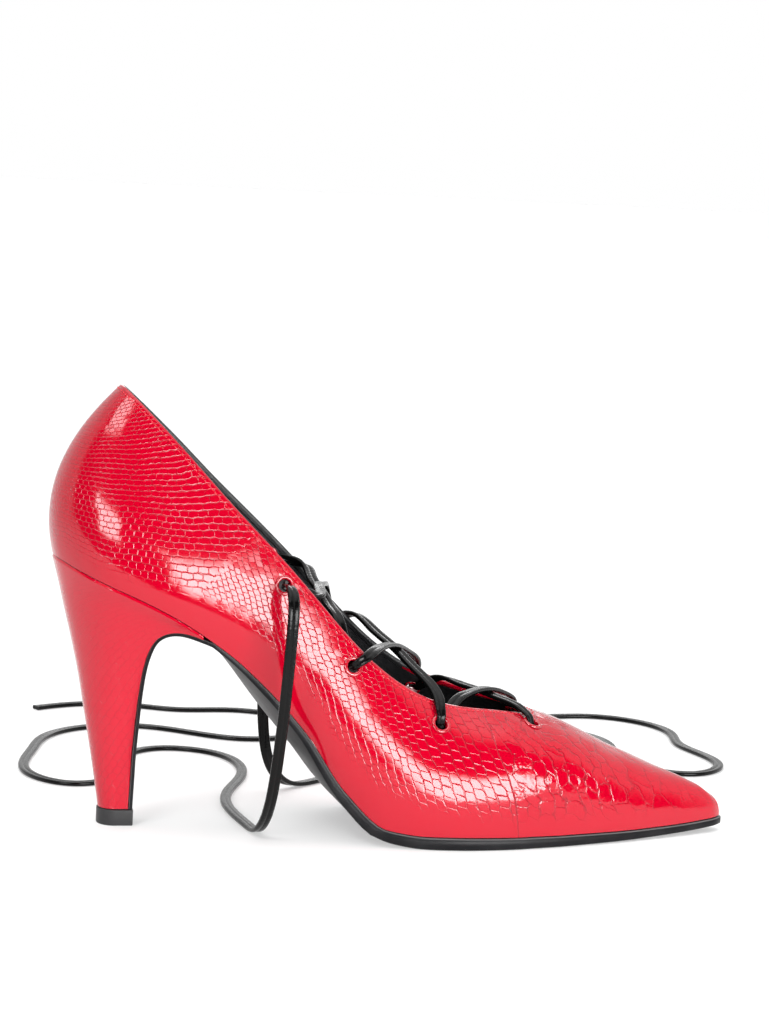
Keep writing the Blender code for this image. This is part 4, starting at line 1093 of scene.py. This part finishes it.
front = GAP + FLAP_THICKNESS + LIFT_MARGIN
shape = bmesh.new()
rings = []
for height, shrink in ((0.0, LIFT_BEVEL), (LIFT_BEVEL * 0.3, LIFT_BEVEL * 0.3), (LIFT_BEVEL, 0.0),
                       (LIFT_HEIGHT - LIFT_BEVEL * 0.5, 0.0), (LIFT_HEIGHT, LIFT_BEVEL * 0.5)):
    half = [tip_outline(k / LIFT_COLUMNS, LIFT_MARGIN - shrink, front - shrink)
            for k in range(LIFT_COLUMNS + 1)]
    rings.append([shape.verts.new((x, -y, height)) for x, y in half[::-1]]
                 + [shape.verts.new((x, y, height)) for x, y in half[1:]])
fill(shape, rings)
finish = Finish("black_rubber", (0.012, 0.012, 0.013), 0.55)
spot = finish.place("Object")
dust = finish.noise(spot, 700.0, 3.0)
rubber = finish.set(Normal=finish.bump(dust, 0.00005), Roughness=0.45 + dust * 0.2)
into_scene("top_lift_rubber", shape, rubber, ["top_lift"])

# The eyelets: eight small brass eyelets with red enamel. Each is set from outside through leather and lining,
# and its tube is rolled over on the inside.

EYELET_FLANGE_HEIGHT = 0.0006
EYELET_WASHER = 0.0031
EYELET_TURN = 0.0004
EYELET_LIP = (EYELET_FLANGE - EYELET_BORE) / 2
EYELET_ROLL = (EYELET_WASHER - EYELET_BORE) / 2
EYELET_SINK = 0.00002
EYELET_NAMES = {(-1, i): "eyelet_outer_%d" % (i + 1) for i in range(4)}
EYELET_NAMES.update({(1, i): "eyelet_inner_%d" % (i + 1) for i in range(4)})

finish = Finish("red_enamel", (0.34, 0.0004, 0.010), 0.14, Specular_IOR_Level=1.0)
spot = finish.place("Object")
red_enamel = finish.set(Normal=finish.bump(finish.noise(spot, 900.0, 2.0), 0.00003))


def seat_heights(spot, out):
    """How high the leather's two faces stand along an eyelet's axis under its rims."""
    first = out.orthogonal().normalized()
    second = out.cross(first)
    outside = []
    for radius in (EYELET_FLANGE, 0.8 * EYELET_FLANGE):
        for i in range(16):
            arm = (first * cos(pi * i / 8) + second * sin(pi * i / 8)) * radius
            hit = leather_tree.ray_cast(spot + arm + out * PROBE_ABOVE, -out, PROBE_REACH)[0]
            if hit is not None:
                outside.append((hit - spot).dot(out))
    return max(outside), min(outside) - WALL - 0.0001


seats = {place: seat_heights(spot, out) for place, (spot, out, _) in places.items()}


def roll(middle_r, middle_h, radius, first, last, count, flat):
    """Points of a rolled rim's section from one angle to another, as radius and height."""
    return [(middle_r + radius * cos(radians(a)), middle_h + radius * flat * sin(radians(a)))
            for a in np.linspace(first, last, count)]


for place, (spot, out, _) in places.items():
    face, under = seats[place]
    tube = EYELET_BORE + EYELET_TUBE
    top = roll(EYELET_BORE + EYELET_LIP, face, EYELET_LIP, 180, 0, 11, EYELET_FLANGE_HEIGHT / EYELET_LIP)
    low = roll(EYELET_BORE + EYELET_ROLL, under, EYELET_ROLL, 0, -180, 9, EYELET_TURN / EYELET_ROLL)
    outline = [(EYELET_BORE, (face + under) / 2), *top, (tube, face - EYELET_SINK),
               (tube, under + EYELET_SINK), *low]
    mesh = bpy.data.meshes.new(EYELET_NAMES[place])
    mesh.from_pydata([(r, 0.0, h) for r, h in outline],
                     [(i, (i + 1) % len(outline)) for i in range(len(outline))], [])
    eyelet = bpy.data.objects.new(EYELET_NAMES[place] + "_rim", mesh)
    bpy.context.scene.collection.objects.link(eyelet)
    mesh.materials.append(red_enamel)
    turn = eyelet.modifiers.new("turn", "SCREW")
    turn.angle = 2 * pi
    turn.steps = turn.render_steps = 40
    turn.use_merge_vertices = True
    turn.merge_threshold = 0.00001
    turn.use_normal_calculate = True
    select_only(eyelet)
    bpy.ops.object.modifier_apply(modifier=turn.name)
    shape = bmesh.new()
    shape.from_mesh(mesh)
    shape.transform(Matrix.Translation(spot) @ facing(out))
    bmesh.ops.recalc_face_normals(shape, faces=shape.faces)
    shape.to_mesh(mesh)
    shape.free()
    bpy.ops.object.shade_smooth_by_angle(angle=radians(45))
    dress(eyelet, [EYELET_NAMES[place]])

# The laces where they cross: flat black leather, folded lengthwise and stitched down the middle, laced
# crosswise from the two lowest eyelets up, out over the topline each time.

LACE_WIDTH = 0.0040
LACE_THICKNESS = 0.0016
LACE_SECTION = ((-0.50, 0.00), (-0.485, 0.26), (-0.43, 0.42), (-0.34, 0.50), (-0.20, 0.49), (-0.08, 0.44),
                (0.00, 0.36), (0.08, 0.44), (0.20, 0.49), (0.34, 0.50), (0.43, 0.42), (0.485, 0.26))
LACE_RING = LACE_SECTION + tuple((-a, -b) for a, b in LACE_SECTION)


def smooth_route(points, count, turn=0.0):
    """Evenly spaced points on a smooth curve through points, closer in the bends with turn above 0."""
    points = np.array([tuple(p) for p in points], float)
    knots = travelled(points)
    at = np.linspace(0.0, knots[-1], 1200)
    fine = np.stack([Curve(knots, points[:, i])(at) for i in range(3)], axis=1)
    runs = np.diff(fine, axis=0)
    spans = np.linalg.norm(runs, axis=1)
    turns = np.linalg.norm(np.diff(runs / spans[:, None], axis=0), axis=1)
    gone = running(spans + turn * np.concatenate(([0.0], turns)))
    return at_places(np.linspace(0.0, gone[-1], count), gone, fine)


def strap(shape, route, hints, widths, thicks):
    """A flat folded lace along a route: hints face its flat side, widths and thicks are shares."""
    uv_layer = shape.loops.layers.uv.get("lace") or shape.loops.layers.uv.new("lace")
    gone = travelled(route) * 1000.0
    rings = []
    for i, here in enumerate(route):
        run = Vector(route[min(i + 1, len(route) - 1)] - route[max(i - 1, 0)]).normalized()
        flat = Vector(hints[i])
        flat = (flat - run * flat.dot(run)).normalized()
        wide, high = run.cross(flat) * LACE_WIDTH * widths[i], flat * LACE_THICKNESS * thicks[i]
        rings.append([shape.verts.new(Vector(here) + wide * a + high * b) for a, b in LACE_RING])
    size = len(LACE_RING)
    for i, (first, second) in enumerate(zip(rings, rings[1:])):
        for j, face in enumerate(bridge(shape, first, second)):
            for corner, (n, m) in zip(face.loops, ((i, j), (i, j + 1), (i + 1, j + 1), (i + 1, j))):
                corner[uv_layer].uv = (gone[n], m / size)
    for ring in (rings[0], rings[-1]):
        middle = shape.verts.new(sum((v.co for v in ring), Vector()) / size)
        for j in range(size):
            shape.faces.new((ring[j], ring[(j + 1) % size], middle))


finish = Finish("lace_black", (0.002, 0.002, 0.002), 0.16, Specular_IOR_Level=0.17)
spot = finish.place("Object")
u, v, _ = finish.split(finish.place("UV"))
face_v = (v * 2.0).part()
seam_line = 1.0 - abs(face_v - 0.25).ramp(0.0, 0.03)
dash = abs((u * 0.45).part() - 0.5).ramp(0.28, 0.36)
grain = finish.noise(spot, 1500.0, 3.0)
creases = finish.noise(finish.join(u * 0.9, v * 3.0), 1.0, 3.0)
height = grain * 0.5 + creases * 1.3 - seam_line * (0.8 + dash * 0.7)
tone = finish.mix(seam_line * dash * 0.7, (0.002, 0.002, 0.002), (0.03, 0.03, 0.029))
lace_black = finish.set(Base_Color=tone, Roughness=0.12 + grain * 0.12, Normal=finish.bump(height, 0.00007))
UP = Vector((0.0, 0.0, 1.0))
# A lace on its way out of a bore: how far along, how high over or under the leather, how its flat side leans
WAY_STEPS = (-0.0002, 0.0006, 0.0021, 0.0045)
OVER_HEIGHTS = (-0.0013, -0.0001, -0.0001, 0.0003)
UNDER_HEIGHTS = (-0.0006, -0.0017, 0.0001, -0.0003)
FLAT_LEANS = ((0.3, 1.0), (0.7, 0.7), (1.0, 0.2), (1.0, 0.0))
# How high and how far in it passes the topline, over it and inside it
OVER_EDGE, INSIDE_EDGE = (0.0010, 0.0002), (0.0006, 0.0024)


def eyelet_end(side, index, edge, outside):
    """The lace's way out of an eyelet's bore to the topline: points, and the ways its flat side faces."""
    spot, out, _ = places[side, index]
    face, under = seats[side, index]
    way = edge - spot
    way = (way - out * way.dot(out)).normalized()
    lying = LACE_THICKNESS * PRESSED / 2
    if outside:
        heights, level, turn = OVER_HEIGHTS, face + EYELET_FLANGE_HEIGHT + lying, -1.0
    else:
        heights, level, turn = UNDER_HEIGHTS, under - EYELET_TURN - lying, 1.0
    points = [spot + way * step + out * (height + (level if i > 1 else 0.0))
              for i, (step, height) in enumerate(zip(WAY_STEPS, heights))]
    return points, [out * a + way * b * turn for a, b in FLAT_LEANS]


def edge_crossing(side, station, outside):
    """Where a lace crosses the topline: over it, or just inside it."""
    inward = Vector((0.0, -side, 0.0))
    top = top_point(side, station)
    if outside:
        return top + UP * (LACE_THICKNESS / 2 + OVER_EDGE[0]) + inward * OVER_EDGE[1]
    return top + UP * INSIDE_EDGE[0] + inward * (WALL + INSIDE_EDGE[1])


# Each lace between two pairs of eyelets: eyelet, topline station, outside or inside, and how high it arches
CROSSINGS = {
    1: ((1, 8.57, False), (0, 7.90, False), 0.0016),
    2: ((2, 11.42, True), (1, 9.50, True), 0.0034),
    3: ((3, 14.15, True), (2, 12.05, False), 0.0018),
}
CROSSING_RINGS = 150
CROSSING_STAGGER = 0.0011   # how far the one lace of a pair passes above the middle, and the other below it
CROSSING_WIDTHS = ((0.0, 0.70), (0.0030, 0.76), (0.0100, 1.0))      # from either end
PRESSED = 0.62             # share of a lace's thickness where it is squeezed through an eyelet
TAIL = 8

for number, (start, finish_at, arch) in CROSSINGS.items():
    shape = bmesh.new()
    for side in (-1, 1):
        (low, low_station, low_out), (high, high_station, high_out) = start, finish_at
        near_edge = edge_crossing(side, low_station, low_out)
        far_edge = edge_crossing(-side, high_station, high_out)
        first_points, first_flats = eyelet_end(side, low, near_edge, low_out)
        last_points, last_flats = eyelet_end(-side, high, far_edge, high_out)
        over = arch + side * CROSSING_STAGGER
        middle = [near_edge.lerp(far_edge, t) + UP * over * 4 * t * (1 - t) for t in (0.25, 0.5, 0.75)]
        lean_low = UP * 0.8 + places[side, low][1] * 0.6
        lean_high = UP * 0.8 + places[-side, high][1] * 0.6
        points = first_points + [near_edge] + middle + [far_edge] + last_points[::-1]
        flats = first_flats + [lean_low] + [UP] * 3 + [lean_high] + last_flats[::-1]
        route = smooth_route(points, CROSSING_RINGS)
        stops = travelled(points)
        at = np.linspace(0, stops[-1], CROSSING_RINGS)
        hints = at_places(at, stops, flats)
        widths = read(CROSSING_WIDTHS, np.minimum(at, stops[-1] - at))
        if number == 1:
            spot, out, _ = places[-side, 0]
            exit_at = seats[-side, 0][0] + GAP + EYELET_FLANGE_HEIGHT + GAP
            here = Vector(route[-1])
            tail = [here.lerp(spot + out * exit_at, (i + 1) / TAIL) for i in range(TAIL)]
            route = np.concatenate((route, np.array([tuple(p) for p in tail])))
            widths = np.concatenate((widths, np.linspace(0.70, 0.74, TAIL)))
            hints = np.concatenate((hints, np.array([hints[-1]] * TAIL)))
        thicks = np.interp(widths, (0.74, 1.0), (PRESSED, 1.0))
        strap(shape, route, hints, widths, thicks)
    into_scene("laces_crossed_%d" % number, shape, lace_black, ["lace_crossing_%d" % number])

# The bar: the same folded leather lace where it runs inside the vamp, from one of the two lowest eyelets to
# the other. At both ends it goes up through the eyelet.

BAR_RINGS = 60
BAR_CLEAR = 0.0004
BAR_DEPTHS = (0.0009, 0.0016)
BAR_ARCH = Vector((0.001, 0.0, 0.0016))
BAR_WIDTHS = ((0.0, 0.70), (0.12, 0.74), (0.2, 1.0), (0.8, 1.0), (0.88, 0.74), (1.0, 0.70))

ends = []
for side in (-1, 1):
    spot, out, _ = places[side, 3]
    deep = spot - out * (EYELET_TURN - seats[side, 3][1] + GAP + LACE_THICKNESS / 2 + BAR_CLEAR)
    ends.append((*(spot - out * sunk for sunk in BAR_DEPTHS), deep))
middle = (ends[0][2] + ends[1][2]) / 2 + BAR_ARCH
first, second = ([top, bottom, deep.lerp(middle, 0.12), deep.lerp(middle, 0.5)] for top, bottom, deep in ends)
flats = [(0, 1, 0), (0, 1, 0.3), (0, 0.5, 1), UP, UP, UP, (0, -0.5, 1), (0, -1, 0.3), (0, -1, 0)]
hints = at_places(np.linspace(0, len(flats) - 1, BAR_RINGS), np.arange(len(flats)), flats)
widths = read(BAR_WIDTHS, np.linspace(0, 1, BAR_RINGS))
shape = bmesh.new()
strap(shape, smooth_route([*first, middle, *second[::-1]], BAR_RINGS), hints, widths, widths)
into_scene("lace_inside_bar", shape, lace_black, ["lace_bar"])

# The free ends: each hangs from its top eyelet down the side and lies loose on the floor; their tips are
# cut square and spread a little. Each is as long as the part that the photo winds round the ankle.

OUTER_HANGS = (
    (0.0532, -0.0269, 0.0884), (0.0539, -0.0315, 0.0887), (0.0544, -0.0360, 0.0875),
    (0.0546, -0.0393, 0.0842), (0.0545, -0.0405, 0.0790), (0.0540, -0.0400, 0.0660),
    (0.0532, -0.0388, 0.0500), (0.0522, -0.0368, 0.0340), (0.0512, -0.0334, 0.0200),
    (0.0500, -0.0270, 0.0092), (0.0482, -0.0180, 0.0032),
)
OUTER_LIES = (
    (0.0464, -0.0080), (0.0434, 0.0090), (0.0420, 0.0270), (0.0450, 0.0470), (0.0510, 0.0670),
    (0.0530, 0.0900), (0.0440, 0.1110), (0.0250, 0.1170), (0.0110, 0.1030), (0.0100, 0.0820),
    (0.0040, 0.0620), (-0.0120, 0.0540), (-0.0250, 0.0660), (-0.0280, 0.0880), (-0.0240, 0.1120),
    (-0.0180, 0.1360), (-0.0020, 0.1540), (0.0200, 0.1580), (0.0400, 0.1470), (0.0600, 0.1370),
    (0.0800, 0.1440), (0.0880, 0.1630), (0.0800, 0.1840), (0.0600, 0.1940), (0.0380, 0.1930),
    (0.0170, 0.2010), (-0.0040, 0.2000), (-0.0200, 0.1910),
)
INNER_HANGS = (
    (0.0530, 0.0277, 0.0915), (0.0532, 0.0322, 0.0918), (0.0535, 0.0367, 0.0906),
    (0.0538, 0.0400, 0.0873), (0.0540, 0.0412, 0.0820), (0.0542, 0.0409, 0.0690),
    (0.0545, 0.0403, 0.0530), (0.0550, 0.0402, 0.0370), (0.0564, 0.0420, 0.0220),
    (0.0600, 0.0466, 0.0102), (0.0668, 0.0534, 0.0036),
)
INNER_LIES = (
    (0.0750, 0.0606), (0.0870, 0.0740), (0.0950, 0.0920), (0.0990, 0.1120), (0.1120, 0.1280),
    (0.1300, 0.1240), (0.1370, 0.1060), (0.1390, 0.0860), (0.1540, 0.0730), (0.1720, 0.0790),
    (0.1770, 0.0980), (0.1690, 0.1170), (0.1600, 0.1360), (0.1640, 0.1560), (0.1820, 0.1670),
    (0.2010, 0.1580), (0.2080, 0.1380), (0.2060, 0.1160), (0.2120, 0.0950), (0.2290, 0.0860),
    (0.2430, 0.0990), (0.2430, 0.1200), (0.2380, 0.1410), (0.2400, 0.1630), (0.2320, 0.1840),
    (0.2120, 0.1950), (0.1880, 0.1920), (0.1680, 0.1970), (0.1580, 0.2010),
)
HAND_HEIGHT = 0.0021
CORD_TURN = 0.008
CORD_CLEAR = 0.0003
FALL_POINTS = 10
END_RINGS = 420
FLOOR_MIDDLE = LACE_WIDTH / 2 + 0.0001
LYING_MIDDLE = 0.00098
FLOOR_NEAR = 0.012
# Shares of the lace's size along a free end: pressed at the eyelet, spread a little at the tip
CORD_WIDTHS = ((0.0, 0.74), (0.004, 0.76), (0.016, 1.0), (0.992, 1.0), (1.0, 1.12))
CORD_THICKS = ((0.0, PRESSED), (0.004, PRESSED), (0.02, 1.0))

for side, node, hangs, lies in ((-1, "lace_end_outer", OUTER_HANGS, OUTER_LIES),
                                (1, "lace_end_inner", INNER_HANGS, INNER_LIES)):
    hand_route = np.array([*hangs, *((x, y, HAND_HEIGHT) for x, y in lies)])
    spot, out, way = places[side, 0]
    start = spot + out * (seats[side, 0][0] + GAP + EYELET_FLANGE_HEIGHT + GAP + CORD_CLEAR)
    shift = np.array(start) - hand_route[0]
    fade = np.clip(1.0 - np.arange(len(hand_route)) / FALL_POINTS, 0.0, 1.0)
    route = smooth_route(hand_route + fade[:, None] * shift, END_RINGS, CORD_TURN)
    drop = np.interp(route[:, 2], (FLOOR_MIDDLE, FLOOR_NEAR), (FLOOR_MIDDLE - LYING_MIDDLE, 0.0))
    route[:, 2] = np.maximum(route[:, 2], FLOOR_MIDDLE) - drop
    flat = way.copy()
    hints = []
    for i in range(END_RINGS):
        run = Vector(route[min(i + 1, END_RINGS - 1)] - route[max(i - 1, 0)]).normalized()
        flat = (flat - run * flat.dot(run)).normalized()
        lying = float(np.interp(route[i][2], (0.0012, 0.010), (1.0, 0.0)))
        if lying > 0:
            flat = flat.lerp(UP if flat.z > 0 else -UP, 0.25 * lying).normalized()
        hints.append(tuple(flat))
    shape = bmesh.new()
    at = np.linspace(0, 1, END_RINGS)
    strap(shape, route, hints, read(CORD_WIDTHS, at), read(CORD_THICKS, at))
    end = into_scene(node + "_strap", shape, lace_black, [node])

# The studio: a pale floor that glows a little, four soft cards of white light that the camera doesn't see, a
# pale backcloth that only the camera sees, and a sky that is bright above and behind and dark in front.

CAMERA_TARGET = Vector((0.089657, 0.0, 0.110358))
CAMERA_YAW, CAMERA_RISE, CAMERA_ROLL = -9.109, 7.302, 2.878
CAMERA_AWAY = 1.000552
CAMERA_LENS = 101.513
LIT_SPOT = Vector((0.06, 0.0, 0.06))

bpy.ops.mesh.primitive_plane_add(size=1.0, location=(0.0, 0.0, 0.0))
floor = bpy.context.active_object
floor.name = "studio_floor"
for corner, (x, y) in zip(floor.data.vertices, ((-8.0, -0.36), (8.0, -0.36), (-8.0, 12.0), (8.0, 12.0))):
    corner.co = (x, y, 0.0)
finish = Finish("pale_floor", (0.6, 0.6, 0.6), 0.9, Specular_IOR_Level=0.1, Emission_Color=(1.0, 1.0, 1.0),
                Emission_Strength=0.38)
floor.data.materials.append(finish.material)
floor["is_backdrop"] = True


def direction(azimuth, rise):
    """Unit direction; azimuth from the front towards the toe side, in degrees."""
    a, e = radians(azimuth), radians(rise)
    return Vector((sin(a) * cos(e), -cos(a) * cos(e), sin(e)))


def softbox(name, azimuth, rise, away, wide, high, radiance):
    """A glowing card turned to the shoe, softer towards its edges, that the camera doesn't see."""
    way = direction(azimuth, rise)
    bpy.ops.mesh.primitive_plane_add(size=1.0)
    card = bpy.context.active_object
    card.name = name
    turn = way.to_track_quat("Z", "Y").to_matrix().to_4x4()
    size = Matrix.Diagonal((wide, high, 1.0, 1.0))
    card.matrix_world = Matrix.Translation(LIT_SPOT + way * away) @ turn @ size
    card.visible_camera = False
    glow = Finish(name, (0.0, 0.0, 0.0), 1.0, Specular_IOR_Level=0.0, Emission_Strength=radiance)
    x, y, _ = glow.split(glow.place("Object"))
    soft = (0.5 - abs(x)).ramp(0.0, 0.16) * (0.5 - abs(y)).ramp(0.0, 0.25)
    card.data.materials.append(glow.set(Emission_Color=glow.mix(soft, (0.0, 0.0, 0.0), (1.0, 1.0, 1.0))))
    card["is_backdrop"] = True


softbox("softbox_right", 25, 5, 1.2, 1.05, 0.58, 18.0)
softbox("softbox_left", -38, 16, 1.2, 0.62, 0.38, 14.0)
softbox("softbox_high", -46, 50, 1.2, 0.60, 0.34, 9.0)
softbox("softbox_back", 168, 22, 1.2, 0.80, 0.26, 5.0)

bpy.ops.mesh.primitive_plane_add(size=1.0, location=(0.0, -5.0, 0.0), rotation=(radians(90), 0.0, 0.0))
backcloth = bpy.context.active_object
backcloth.scale = (24.0, 16.0, 1.0)
backcloth.name = "studio_backcloth"
backcloth.visible_diffuse = backcloth.visible_glossy = backcloth.visible_transmission = False
backcloth.visible_shadow = False
pale = Finish("pale_backcloth", (0.0, 0.0, 0.0), 1.0, Specular_IOR_Level=0.0, Emission_Color=(1.0, 1.0, 1.0),
              Emission_Strength=1.0)
backcloth.data.materials.append(pale.material)
backcloth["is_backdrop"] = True

FRONT_WAY = (-0.158, -0.987)
world = bpy.data.worlds.new("studio")
world.use_nodes = True
bpy.context.scene.world = world
nodes, links = world.node_tree.nodes, world.node_tree.links
back_node = nodes["Background"]
place = nodes.new("ShaderNodeTexCoord")
xyz = nodes.new("ShaderNodeSeparateXYZ")
links.new(place.outputs["Generated"], xyz.inputs[0])


def sky(operation, *values):
    """A step of the sky's sums: a ramp or a piece of maths."""
    node = nodes.new("ShaderNodeMapRange" if operation == "RAMP" else "ShaderNodeMath")
    if operation != "RAMP":
        node.operation = operation
    for socket, value in zip(node.inputs, values):
        if isinstance(value, bpy.types.NodeSocket):
            links.new(value, socket)
        else:
            socket.default_value = value
    return node.outputs[0]


front_way = sky("ADD", *(sky("MULTIPLY", xyz.outputs[i], share) for i, share in enumerate(FRONT_WAY)))
in_front = sky("RAMP", front_way, 0.12, 0.30)
below_top = sky("RAMP", xyz.outputs[2], 0.93, 0.76)
dark = sky("MULTIPLY", in_front, below_top)
overhead = sky("RAMP", xyz.outputs[2], 0.80, 0.97, 0.0, 1.5)
strength = sky("ADD", sky("SUBTRACT", 1.0, dark), overhead)
links.new(strength, back_node.inputs["Strength"])
back_node.inputs["Color"].default_value = (1, 1, 1, 1)

data = bpy.data.cameras.new("camera")
data.sensor_width = 36.0
data.lens = CAMERA_LENS
data.dof.use_dof = False
camera = bpy.data.objects.new("camera", data)
bpy.context.scene.collection.objects.link(camera)
back = direction(CAMERA_YAW, CAMERA_RISE)
right = Vector((0.0, 0.0, 1.0)).cross(back).normalized()
up = back.cross(right)
turn = radians(CAMERA_ROLL)
level_right = right * cos(turn) + up * sin(turn)
level_up = up * cos(turn) - right * sin(turn)
axes = Matrix((level_right, level_up, back)).transposed().to_4x4()
camera.matrix_world = Matrix.Translation(CAMERA_TARGET + back * CAMERA_AWAY) @ axes
bpy.context.scene.camera = camera
bpy.context.scene.view_settings.view_transform = "Standard"

low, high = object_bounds()
